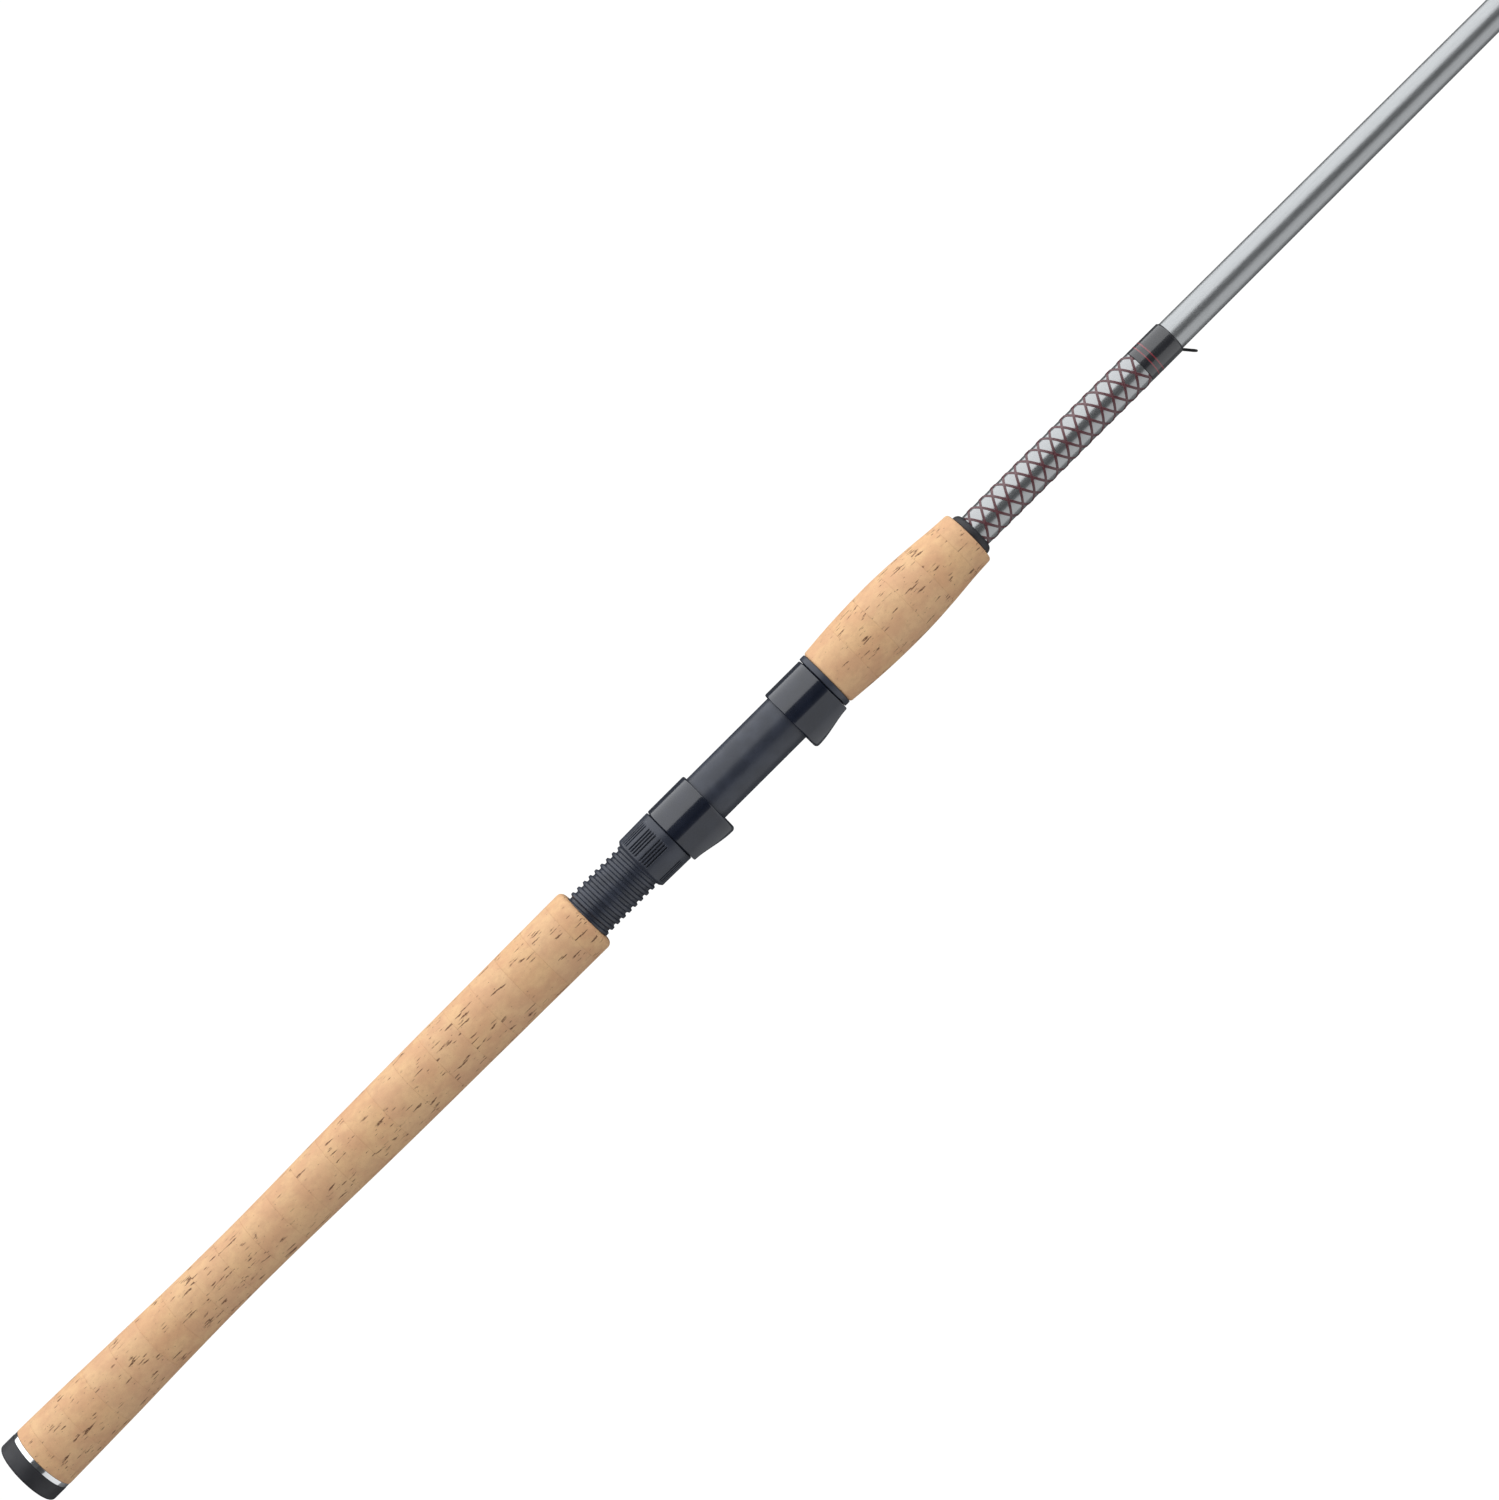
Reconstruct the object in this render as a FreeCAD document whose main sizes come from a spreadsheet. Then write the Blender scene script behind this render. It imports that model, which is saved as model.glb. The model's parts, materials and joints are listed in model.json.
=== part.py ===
import FreeCAD, Part
import math
import os

import Sketcher

# A two-piece spinning rod.  +X runs from the butt to the tip, +Z is the side away
# from the reel, and the origin is the centre of the butt end.  All sizes are in mm.

Vector = FreeCAD.Vector
ALONG_X = FreeCAD.Rotation(Vector(0, 0, 1), Vector(1, 0, 0))
UP = Vector(0, 0, 1)

document = FreeCAD.newDocument("spinning_rod")

DIMENSIONS = [
    # the whole rod and its two tapered tubes
    ("rod_length", 2134.0),
    ("butt_radius", 7.36),
    ("butt_taper", 0.00236),
    ("blank_wall", 1.1),
    ("blank_start", 3.0),
    ("ferrule_start", 1070.0),
    ("ferrule_length", 70.0),
    ("ferrule_gap", 0.03),
    ("tip_base_radius", 5.75),
    ("tip_end_radius", 1.2),
    ("tip_bore_end_radius", 0.45),
    ("tip_wall", 1.4),
    ("tip_end_gap", 2.0),
    ("socket_spare", 4.0),
    ("socket_taper", 6.0),
    ("ferrule_wrap_length", 22.0),
    ("ferrule_wrap_height", 0.45),
    ("glue_gap", 0.03),
    # butt cap and trim ring
    ("cap_length", 6.5),
    ("cap_radius", 13.1),
    ("cap_edge", 1.2),
    ("cap_spigot", 14.0),
    ("cap_gap", 0.1),
    ("trim_length", 2.1),
    ("trim_radius", 13.0),
    # rear cork grip
    ("rear_end", 278.3),
    ("rear_first_joint", 14.4),
    ("cork_ring", 12.8),
    ("rear_butt_radius", 13.15),
    ("rear_fall_place", 46.9),
    ("rear_fall_drop", 0.8),
    ("rear_waist_radius", 11.25),
    ("rear_waist_place", 103.4),
    ("rear_rise_place", 159.8),
    ("rear_rise", 0.75),
    ("rear_shoulder_place", 216.2),
    ("rear_shoulder_drop", 0.35),
    ("rear_seat_radius", 12.9),
    ("rear_edge", 2.2),
    ("seat_recess", 6.0),
    # fore cork grip
    ("fore_start", 397.7),
    ("fore_end", 468.4),
    ("fore_joint", 12.68),
    ("fore_start_radius", 11.4),
    ("fore_crown_radius", 13.4),
    ("fore_crown_place", 429.6),
    ("fore_end_radius", 10.75),
    ("fore_edge", 1.1),
    # reel seat
    ("seat_bore", 7.5),
    ("barrel_radius", 9.7),
    ("thread_root", 8.75),
    ("thread_pitch", 2.868),
    ("thread_crest_width", 1.0),
    ("thread_base_width", 1.9),
    ("thread_first", 274.14),
    ("thread_turns", 21),
    ("thread_end", 335.0),
    ("thread_gap", 0.12),
    ("slide_gap", 0.1),
    ("keyway_width", 3.0),
    ("keyway_floor", 8.7),
    ("keyway_end", 376.0),
    ("collar_start", 395.4),
    ("collar_radius", 11.55),
    ("arbor_first", 286.0),
    ("arbor_step", 45.0),
    ("arbor_count", 3),
    ("arbor_length", 14.0),
    # hoods
    ("hood_radius", 11.2),
    ("moving_hood_start", 319.55),
    ("moving_hood_end", 337.5),
    ("fixed_hood_start", 377.8),
    ("fixed_hood_end", 395.1),
    ("lip_radius", 9.0),
    ("lip_drop", 6.8),
    ("lip_depth", 14.8),
    ("lip_heel_depth", 12.3),
    ("hood_wall", 1.5),
    ("pocket_length", 14.0),
    ("key_width", 2.6),
    ("key_length", 6.0),
    ("key_floor", 9.0),
    # lock nut
    ("nut_start", 304.3),
    ("nut_face", 319.25),
    ("nut_radius", 11.15),
    ("nut_chamfer", 2.0),
    ("nut_bore", 9.05),
    ("neck_radius", 10.15),
    ("neck_length", 2.2),
    ("bead_radius", 10.4),
    ("bead_length", 1.0),
    ("nut_groove_start", 306.2),
    ("nut_groove_length", 10.3),
    ("nut_groove_width", 0.6),
    ("nut_groove_depth", 0.35),
    ("nut_groove_step", 6.1),
    # winding check, decorative wrap, keeper wrap and hook keeper
    ("check_length", 2.9),
    ("check_radius", 8.7),
    ("check_front_radius", 6.95),
    ("wrap_end", 553.1),
    ("thread_layer", 0.25),
    ("finish_radius", 6.77),
    ("keeper_wrap_end", 568.6),
    ("keeper_wrap_radius", 6.72),
    ("keeper_foot_thickness", 0.35),
    ("keeper_foot_width", 1.1),
    ("keeper_foot_length", 11.0),
    ("keeper_foot_lead", 0.8),
    ("keeper_wire", 0.45),
    ("keeper_half_gap", 1.3),
    ("keeper_reach", 3.6),
    ("keeper_lean", 50.0),
    # line guides and tip-top
    ("guide_wire", 0.75),
    ("guide_holder_width", 1.7),
    ("guide_holder_wall", 0.9),
    ("guide_insert_wall", 1.6),
    ("guide_foot_width", 2.4),
    ("guide_foot_thickness", 0.6),
    ("guide_wrap_cover", 0.35),
    ("guide_wrap_set_back", 1.5),
    ("guide_wrap_overrun", 2.0),
    ("guide_heel_share", 0.75),
    ("guide_grip_lift", 20.0),
    ("guide_strut_half_gap", 0.35),
    ("tip_tube_radius", 1.75),
    ("tip_tube_length", 14.0),
]

# Each guide: distance of its ring from the tip end, outer radius of its ceramic ring,
# drop of the ring's centre below the blank's axis, foot length, and its number of feet.
GUIDES = [
    (1200.0, 15.0, 31.0, 19.0, 2),
    (920.0, 10.0, 22.0, 16.0, 2),
    (650.0, 7.0, 15.5, 13.0, 2),
    (430.0, 5.2, 11.5, 11.0, 1),
    (250.0, 4.6, 10.0, 10.0, 1),
    (110.0, 4.6, 9.4, 9.0, 1),
]
TIP_RING_RADIUS = 4.6


def make_sheet():
    """The driving dimensions, one alias to a row."""
    made = document.addObject("Spreadsheet::Sheet", "dims")
    for row, (alias, value) in enumerate(DIMENSIONS, start=1):
        made.set(f"A{row}", alias)
        made.set(f"B{row}", str(value))
        made.setAlias(f"B{row}", alias)
    return made


sheet = make_sheet()
document.recompute()
exported = []


def value(expression):
    """The number that an expression on the sheet gives now."""
    result = sheet.evalExpression(str(expression))
    return float(getattr(result, "Value", result))


def blank_radius(x):
    """Expression for the butt tube's outer radius at x."""
    return f"(dims.butt_radius - dims.butt_taper * ({x}))"


def tip_radius(x):
    """Expression for the tip tube's outer radius at x."""
    share = f"(({x}) - dims.ferrule_start) / (dims.rod_length - dims.ferrule_start)"
    return f"(dims.tip_base_radius - (dims.tip_base_radius - dims.tip_end_radius) * {share})"


def keep(piece, name):
    """Names an object after its node and marks it for export."""
    piece.Label = name
    exported.append(piece)
    return piece


# ---------------------------------------------------------------- sketches and bodies

def origin_plane(body, role):
    """One of a body's own origin planes."""
    return [f for f in body.Origin.OriginFeatures if f.Role == role][0]


def new_sketch(body, name, role="XY_Plane", lift=None):
    """A sketch on a body's origin plane, lifted along its normal by an expression."""
    sketch = body.newObject("Sketcher::SketchObject", name)
    sketch.AttachmentSupport = [(origin_plane(body, role), "")]
    sketch.MapMode = "FlatFace"
    if lift is not None:
        sketch.setExpression("AttachmentOffset.Base.z", lift)
    return sketch


def hold_point(sketch, line, end, x, y):
    """Ties a line's end to expressions for its two coordinates."""
    for kind, place, axis in (("DistanceX", x, -2), ("DistanceY", y, -1)):
        if abs(value(place)) < 1e-9:
            sketch.addConstraint(Sketcher.Constraint("PointOnObject", line, end, axis))
        else:
            made = Sketcher.Constraint(kind, -1, 1, line, end, value(place))
            sketch.setExpression(f"Constraints[{sketch.addConstraint(made)}]", str(place))


def closed_outline(sketch, corners):
    """Straight lines round the corners, each corner given by two expressions."""
    spots = [Vector(value(x), value(y), 0) for x, y in corners]
    count = len(spots)
    for i in range(count):
        sketch.addGeometry(Part.LineSegment(spots[i], spots[(i + 1) % count]), False)
    for i, (x, y) in enumerate(corners):
        sketch.addConstraint(Sketcher.Constraint("Coincident", i - 1 if i else count - 1, 2, i, 1))
        hold_point(sketch, i, 1, x, y)


def turned(body, sketch):
    """Revolves a sketch about the rod's axis."""
    revolution = body.newObject("PartDesign::Revolution", "turned")
    revolution.Profile = sketch
    revolution.ReferenceAxis = (sketch, ["H_Axis"])
    revolution.Angle = 360
    return revolution


def turned_body(name, corners):
    """A body turned about the X axis; corners are (x, radius) expressions."""
    body = document.addObject("PartDesign::Body", name)
    sketch = new_sketch(body, name + "_outline")
    closed_outline(sketch, corners)
    turned(body, sketch)
    body.Label = name
    document.recompute()
    return body


def circle_edges(shape, x, radius):
    """Names of the circular edges about the rod's axis at x with a radius."""
    found = []
    for number, edge in enumerate(shape.Edges, start=1):
        if edge.Curve.TypeId != "Part::GeomCircle":
            continue
        centre = edge.Curve.Center
        on_place = abs(centre.x - x) < 1e-4 and abs(edge.Curve.Radius - radius) < 1e-4
        if on_place and math.hypot(centre.y, centre.z) < 1e-4:
            found.append(f"Edge{number}")
    return found


def soften(body, kind, size, rims):
    """Fillets or chamfers circular rims given as (x, radius) expressions."""
    base = body.Tip
    edges = []
    for x, radius in rims:
        edges += circle_edges(base.Shape, value(x), value(radius))
    feature = body.newObject(f"PartDesign::{kind}", kind.lower())
    feature.Base = (base, edges)
    feature.setExpression("Radius" if kind == "Fillet" else "Size", size)
    body.Tip = feature
    document.recompute()


def tube(name, start, end, inner, outer):
    """A straight or tapered tube; inner and outer give the radius at an x expression."""
    corners = [
        (start, inner(start)),
        (end, inner(end)),
        (end, outer(end)),
        (start, outer(start)),
    ]
    return turned_body(name, corners)


def grown(radius_at, extra):
    """A radius function made larger by an expression."""
    return lambda x: f"({radius_at(x)} + {extra})"


# ---------------------------------------------------------------- butt end

def butt_cap():
    """Rubber cap with a spigot that plugs the butt tube."""
    spigot = f"({blank_radius('dims.cap_spigot')} - dims.blank_wall - dims.cap_gap)"
    socket = f"({blank_radius('dims.blank_start')} + dims.cap_gap)"
    body = turned_body("butt_cap", [
        ("0", "0"),
        ("dims.cap_spigot", "0"),
        ("dims.cap_spigot", spigot),
        ("dims.blank_start", spigot),
        ("dims.blank_start", socket),
        ("dims.cap_length", socket),
        ("dims.cap_length", "dims.cap_radius"),
        ("0", "dims.cap_radius"),
    ])
    soften(body, "Fillet", "dims.cap_edge", [("0", "dims.cap_radius")])
    return keep(body, "butt_cap")


def butt_trim_ring():
    """Bright metal ring between the cap and the cork."""
    seat = f"({blank_radius('dims.cap_length')} + dims.glue_gap)"
    return keep(turned_body("butt_trim_ring", [
        ("dims.cap_length", seat),
        ("dims.cap_length + dims.trim_length", seat),
        ("dims.cap_length + dims.trim_length", "dims.trim_radius"),
        ("dims.cap_length", "dims.trim_radius"),
    ]), "butt_trim_ring")


# ---------------------------------------------------------------- cork grips

def grip_form(name, stations, edge, rounded_rims):
    """A whole grip as one turned form, its outline a smooth curve through stations."""
    body = document.addObject("PartDesign::Body", name)
    sketch = new_sketch(body, name + "_outline")
    points = [Vector(value(x), value(r), 0) for x, r in stations]
    curve = Part.BSplineCurve()
    curve.interpolate(points)
    bore = [Vector(p.x, value(blank_radius(p.x)) + value("dims.glue_gap"), 0)
            for p in (points[0], points[-1])]
    sketch.addGeometry(curve, False)
    sketch.addGeometry(Part.LineSegment(points[-1], bore[1]), False)
    sketch.addGeometry(Part.LineSegment(bore[1], bore[0]), False)
    sketch.addGeometry(Part.LineSegment(bore[0], points[0]), False)
    turned(body, sketch)
    document.recompute()
    soften(body, "Fillet", edge, rounded_rims)
    return body


def cork_rings(prefix, form, cuts):
    """Slices a grip form into its separate cork rings at the x expressions in cuts."""
    for number, (start, end) in enumerate(zip(cuts, cuts[1:]), start=1):
        slab = document.addObject("Part::Cylinder", f"{prefix}_slab_{number}")
        slab.setExpression("Radius", "dims.cap_radius + dims.cap_edge")
        slab.setExpression("Height", f"({end}) - ({start})")
        slab.Placement = FreeCAD.Placement(Vector(value(start), 0, 0), ALONG_X)
        ring = document.addObject("Part::Common", f"{prefix}_{number:02d}")
        ring.Base = form
        ring.Tool = slab
        keep(ring, f"{prefix}_{number:02d}")


def rear_grip():
    """Rear grip: cork rings on the butt tube, waisted for the hand."""
    start = "dims.cap_length + dims.trim_length"
    stations = [
        (start, "dims.rear_butt_radius"),
        ("dims.rear_fall_place", "dims.rear_butt_radius - dims.rear_fall_drop"),
        ("dims.rear_waist_place", "dims.rear_waist_radius"),
        ("dims.rear_rise_place", "dims.rear_waist_radius + dims.rear_rise"),
        ("dims.rear_shoulder_place", "dims.rear_seat_radius - dims.rear_shoulder_drop"),
        ("dims.rear_end", "dims.rear_seat_radius"),
    ]
    form = grip_form("rear_grip_form", stations, "dims.rear_edge",
                     [("dims.rear_end", "dims.rear_seat_radius")])
    recess = document.addObject("Part::Cylinder", "seat_recess_cutter")
    recess.setExpression("Radius", "dims.barrel_radius + dims.glue_gap")
    recess.setExpression("Height", "dims.seat_recess + dims.cap_edge")
    recess.Placement = FreeCAD.Placement(
        Vector(value("dims.rear_end - dims.seat_recess"), 0, 0), ALONG_X)
    hollowed = document.addObject("Part::Cut", "rear_grip_hollowed")
    hollowed.Base = form
    hollowed.Tool = recess
    count = int(value("(dims.rear_end - dims.rear_first_joint) / dims.cork_ring"))
    joints = [f"dims.rear_first_joint + {i} * dims.cork_ring" for i in range(count + 1)]
    cork_rings("rear_cork_ring", hollowed, [start] + joints + ["dims.rear_end"])


def fore_grip():
    """Fore grip: a barrel of cork rings ahead of the reel seat."""
    stations = [
        ("dims.fore_start", "dims.fore_start_radius"),
        ("dims.fore_start + 6", "dims.fore_crown_radius - 1.1"),
        ("dims.fore_start + 16", "dims.fore_crown_radius - 0.45"),
        ("dims.fore_crown_place", "dims.fore_crown_radius"),
        ("dims.fore_end - 19.4", "dims.fore_crown_radius - 0.9"),
        ("dims.fore_end", "dims.fore_end_radius"),
    ]
    form = grip_form("fore_grip_form", stations, "dims.fore_edge", [
        ("dims.fore_start", "dims.fore_start_radius"),
        ("dims.fore_end", "dims.fore_end_radius"),
    ])
    count = int(value("(dims.fore_end - dims.fore_start) / dims.fore_joint"))
    joints = [f"dims.fore_start + {i} * dims.fore_joint" for i in range(count + 1)]
    cork_rings("fore_cork_ring", form, joints + ["dims.fore_end"])


# ---------------------------------------------------------------- reel seat

def thread_outline(sketch, first, bottom, top, extra):
    """Section of the trapezoid thread; extra widens it for the nut's clearance."""
    half_base = f"(dims.thread_base_width / 2 + {extra})"
    half_crest = f"(dims.thread_crest_width / 2 + {extra})"
    closed_outline(sketch, [
        (f"{first} - {half_base}", bottom),
        (f"{first} + {half_base}", bottom),
        (f"{first} + {half_crest}", top),
        (f"{first} - {half_crest}", top),
    ])


def helix(body, kind, sketch, turns):
    """A right-hand helical ridge or groove about the rod's axis."""
    feature = body.newObject(f"PartDesign::{kind}", kind.lower())
    feature.Profile = sketch
    feature.ReferenceAxis = (sketch, ["H_Axis"])
    feature.Mode = 1
    feature.setExpression("Pitch", "dims.thread_pitch")
    feature.setExpression("Turns", turns)
    body.Tip = feature
    document.recompute()


def seat_body():
    """Threaded tube of the reel seat, with its plain barrel, keyway and end collar."""
    start = "dims.rear_end - dims.seat_recess"
    body = turned_body("reel_seat_body", [
        (start, "dims.seat_bore"),
        ("dims.fore_start", "dims.seat_bore"),
        ("dims.fore_start", "dims.collar_radius"),
        ("dims.collar_start", "dims.collar_radius"),
        ("dims.collar_start", "dims.barrel_radius"),
        ("dims.thread_end", "dims.barrel_radius"),
        ("dims.thread_end - 1", "dims.thread_root"),
        (start, "dims.thread_root"),
    ])
    soften(body, "Fillet", "0.4", [("dims.collar_start", "dims.collar_radius"),
                                   ("dims.fore_start", "dims.collar_radius")])
    section = new_sketch(body, "seat_thread_section")
    thread_outline(section, "dims.thread_first", "dims.thread_root - 0.1",
                   "dims.barrel_radius", "0")
    document.recompute()
    helix(body, "AdditiveHelix", section, "dims.thread_turns")
    slot = new_sketch(body, "keyway_outline", "YZ_Plane", start)
    closed_outline(slot, [
        ("-dims.keyway_width / 2", "-dims.barrel_radius - 1"),
        ("dims.keyway_width / 2", "-dims.barrel_radius - 1"),
        ("dims.keyway_width / 2", "-dims.keyway_floor"),
        ("-dims.keyway_width / 2", "-dims.keyway_floor"),
    ])
    document.recompute()
    before = body.Shape.Volume
    keyway = body.newObject("PartDesign::Pocket", "keyway")
    keyway.Profile = slot
    keyway.Reversed = True
    keyway.setExpression("Length", f"dims.keyway_end - ({start})")
    body.Tip = keyway
    document.recompute()
    print("keyway removes", round(before - body.Shape.Volume, 2), "mm3")
    return keep(body, "reel_seat_body")


def seat_arbors():
    """Three sleeves that pack the reel seat out from the tapered tube."""
    arbors = document.addObject("Part::Compound", "seat_arbors")
    links = []
    for number in range(int(value("dims.arbor_count"))):
        start = f"dims.arbor_first + {number} * dims.arbor_step"
        links.append(tube(
            f"arbor_{number + 1}", start, f"{start} + dims.arbor_length",
            grown(blank_radius, "dims.glue_gap"),
            lambda x: "(dims.seat_bore - dims.glue_gap)"))
    arbors.Links = links
    return keep(arbors, "seat_arbors")


def lock_nut():
    """Threaded nut with grouped grip grooves, and a beaded neck that carries the hood."""
    neck_end = "dims.nut_face + dims.neck_length"
    body = turned_body("lock_nut_form", [
        ("dims.nut_start", "dims.nut_bore"),
        (f"{neck_end} + dims.bead_length", "dims.nut_bore"),
        (f"{neck_end} + dims.bead_length", "dims.bead_radius"),
        (neck_end, "dims.bead_radius"),
        (neck_end, "dims.neck_radius"),
        ("dims.nut_face", "dims.neck_radius"),
        ("dims.nut_face", "dims.nut_radius"),
        ("dims.nut_start", "dims.nut_radius"),
    ])
    soften(body, "Fillet", "0.3", [("dims.nut_face", "dims.nut_radius")])
    soften(body, "Chamfer", "dims.nut_chamfer / 2", [("dims.nut_start", "dims.nut_radius")])
    section = new_sketch(body, "nut_thread_section")
    skipped = int(value("(dims.nut_start - dims.thread_first) / dims.thread_pitch")) - 1
    thread_outline(section, f"(dims.thread_first + {skipped} * dims.thread_pitch)",
                   "dims.thread_root", "dims.barrel_radius + dims.thread_gap", "dims.thread_gap")
    document.recompute()
    helix(body, "SubtractiveHelix", section, "9")
    return body


def grooved_nut():
    """Cuts the closed grooves: groups of four, three groups to each third of a turn."""
    cutters = document.addObject("Part::Compound", "nut_groove_cutters")
    links = []
    for group in range(12):
        if group % 4 == 3:
            continue
        for line in range(4):
            angle = 30 * group + value("dims.nut_groove_step") * (line - 1.5) + 180
            groove = document.addObject("Part::Box", f"nut_groove_{group}_{line}")
            groove.setExpression("Length", "dims.nut_groove_length")
            groove.setExpression("Width", "dims.nut_groove_width")
            groove.setExpression("Height", "dims.nut_groove_depth * 3")
            turn = FreeCAD.Rotation(Vector(1, 0, 0), angle - 90)
            corner = Vector(value("dims.nut_groove_start"), -value("dims.nut_groove_width") / 2,
                            value("dims.nut_radius - dims.nut_groove_depth"))
            groove.Placement = FreeCAD.Placement(turn.multVec(corner), turn)
            links.append(groove)
    cutters.Links = links
    nut = document.addObject("Part::Cut", "lock_nut_cut")
    nut.Base = lock_nut()
    nut.Tool = cutters
    return keep(nut, "lock_nut")


def hood_blank(name, heel, mouth):
    """Outer form of a hood: a round sleeve with an arched lip that deepens to its mouth."""
    low = value(heel) < value(mouth)
    start = heel if low else mouth
    body = document.addObject("PartDesign::Body", name + "_form")
    lean = "asin((dims.hood_radius - dims.lip_radius) / dims.lip_drop)"
    high_y, high_z = f"dims.hood_radius * cos({lean})", f"-dims.hood_radius * sin({lean})"
    low_y = f"dims.lip_radius * cos({lean})"
    low_z = f"-dims.lip_drop - dims.lip_radius * sin({lean})"
    rounds = [("0", "dims.hood_radius"), ("-dims.lip_drop", "dims.lip_radius")]
    length = f"abs(({mouth}) - ({heel}))"
    for number, (z, radius) in enumerate(rounds):
        ring = new_sketch(body, f"{name}_round_{number}", "YZ_Plane", start)
        ring.addGeometry(Part.Circle(Vector(0, value(z), 0), UP, value(radius)), False)
        ring.setExpression(
            f"Constraints[{ring.addConstraint(Sketcher.Constraint('Radius', 0, value(radius)))}]",
            radius)
        hold_point(ring, 0, 3, "0", z)
        pad_up(body, ring, length)
    flank = new_sketch(body, name + "_flanks", "YZ_Plane", start)
    closed_outline(flank, [
        (f"-({high_y})", high_z),
        (high_y, high_z),
        (low_y, low_z),
        (f"-({low_y})", low_z),
    ])
    pad_up(body, flank, length)
    return body


def pad_up(body, sketch, length):
    """Pads a sketch along its normal."""
    document.recompute()
    pad = body.newObject("PartDesign::Pad", "pad")
    pad.Profile = sketch
    pad.setExpression("Length", length)
    body.Tip = pad
    document.recompute()


def lip_trim(name, heel, mouth):
    """The space under a hood's lip, bounded by a concave ramp from heel to mouth."""
    heel_x, mouth_x = value(heel), value(mouth)
    run = mouth_x - heel_x
    heel_z, mouth_z = -value("dims.lip_heel_depth"), -value("dims.lip_depth")
    far = mouth_z - 5
    rim_x = mouth_x - 0.22 * run
    middle = Vector(heel_x + 0.42 * run, 0, heel_z - 0.75)
    ramp = Part.Arc(Vector(heel_x, 0, heel_z), middle, Vector(rim_x, 0, mouth_z)).toShape()
    corners = [
        Vector(rim_x, 0, mouth_z),
        Vector(mouth_x + run, 0, mouth_z),
        Vector(mouth_x + run, 0, far),
        Vector(heel_x - run / 2, 0, far),
        Vector(heel_x - run / 2, 0, heel_z),
        Vector(heel_x, 0, heel_z),
    ]
    sides = [Part.LineSegment(a, b).toShape() for a, b in zip(corners, corners[1:])]
    face = Part.Face(Part.Wire([ramp] + sides))
    width = 4 * value("dims.hood_radius")
    face.translate(Vector(0, -width / 2, 0))
    trim = document.addObject("Part::Feature", name + "_trim")
    trim.Shape = face.extrude(Vector(0, width, 0))
    return trim


def cut(name, base, tool):
    """One boolean cut."""
    made = document.addObject("Part::Cut", name)
    made.Base = base
    made.Tool = tool
    document.recompute()
    return made


def hood(name, heel, mouth, bore):
    """A hood: outer form, ramped lip, bore, and a slanted pocket for the reel's foot."""
    ramped = cut(name + "_ramped", hood_blank(name, heel, mouth), lip_trim(name, heel, mouth))
    start = min(value(heel), value(mouth))
    length = abs(value(mouth) - value(heel))
    bore_cutter = document.addObject("Part::Cylinder", name + "_bore")
    bore_cutter.setExpression("Radius", bore)
    bore_cutter.Height = length + 2
    bore_cutter.Placement = FreeCAD.Placement(Vector(start - 1, 0, 0), ALONG_X)
    bored = cut(name + "_bored", ramped, bore_cutter)
    toward_heel = 1 if value(heel) > value(mouth) else -1
    rise = value("dims.lip_depth - dims.hood_wall - dims.barrel_radius")
    slope = math.atan2(rise, value("dims.pocket_length"))
    pocket_radius = value("dims.lip_radius - dims.hood_wall")
    axis = Vector(toward_heel * math.cos(slope), 0, math.sin(slope))
    floor_z = -value("dims.lip_depth - dims.hood_wall")
    origin = Vector(value(mouth), 0, floor_z + pocket_radius) - axis * 4
    pocket = document.addObject("Part::Cylinder", name + "_pocket")
    pocket.Radius = pocket_radius
    pocket.Height = value("dims.pocket_length") + 4
    pocket.Placement = FreeCAD.Placement(origin, FreeCAD.Rotation(Vector(0, 0, 1), axis))
    return cut(name + "_pocketed", bored, pocket)


def moving_hood():
    """Sliding hood, with a groove that snaps over the nut's bead and a key for the keyway."""
    shell = hood("moving_hood", "dims.moving_hood_start", "dims.moving_hood_end",
                 "dims.barrel_radius + dims.slide_gap")
    neck_end = "dims.nut_face + dims.neck_length"
    socket = turned_body("hood_socket", [
        ("dims.moving_hood_start - 1", "dims.barrel_radius - 1"),
        (f"{neck_end} + dims.bead_length + 0.3", "dims.barrel_radius - 1"),
        (f"{neck_end} + dims.bead_length + 0.3", "dims.bead_radius + 0.12"),
        (f"{neck_end} - 0.2", "dims.bead_radius + 0.12"),
        (f"{neck_end} - 0.2", "dims.neck_radius + dims.slide_gap"),
        ("dims.moving_hood_start - 1", "dims.neck_radius + dims.slide_gap"),
    ])
    open_hood = cut("moving_hood_open", shell, socket)
    key = document.addObject("Part::Box", "hood_key")
    key.setExpression("Length", "dims.key_length")
    key.setExpression("Width", "dims.key_width")
    key.setExpression("Height", "dims.barrel_radius + 0.5 - dims.key_floor")
    key.Placement.Base = Vector(value(f"{neck_end} + dims.bead_length + 0.6"),
                                -value("dims.key_width") / 2,
                                -value("dims.barrel_radius + 0.5"))
    made = document.addObject("Part::Fuse", "moving_hood_keyed")
    made.Base = open_hood
    made.Tool = key
    return keep(made, "moving_hood")


def fixed_hood():
    """Front hood, pressed onto the barrel against the collar."""
    shell = hood("fixed_hood", "dims.fixed_hood_end", "dims.fixed_hood_start",
                 "dims.barrel_radius + dims.glue_gap")
    return keep(shell, "fixed_hood")


# ---------------------------------------------------------------- wraps and hook keeper

def winding_check():
    """Domed rubber ring that closes the front of the fore grip."""
    bore = f"({blank_radius('dims.fore_end')} + dims.glue_gap)"
    end = "dims.fore_end + dims.check_length"
    return keep(turned_body("winding_check", [
        ("dims.fore_end", bore),
        (end, bore),
        (end, "dims.check_front_radius"),
        (f"{end} - 0.35", "dims.check_front_radius + 0.75"),
        (f"{end} - 1.4", "dims.check_radius - 0.45"),
        ("dims.fore_end", "dims.check_radius"),
    ]), "winding_check")


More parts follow.
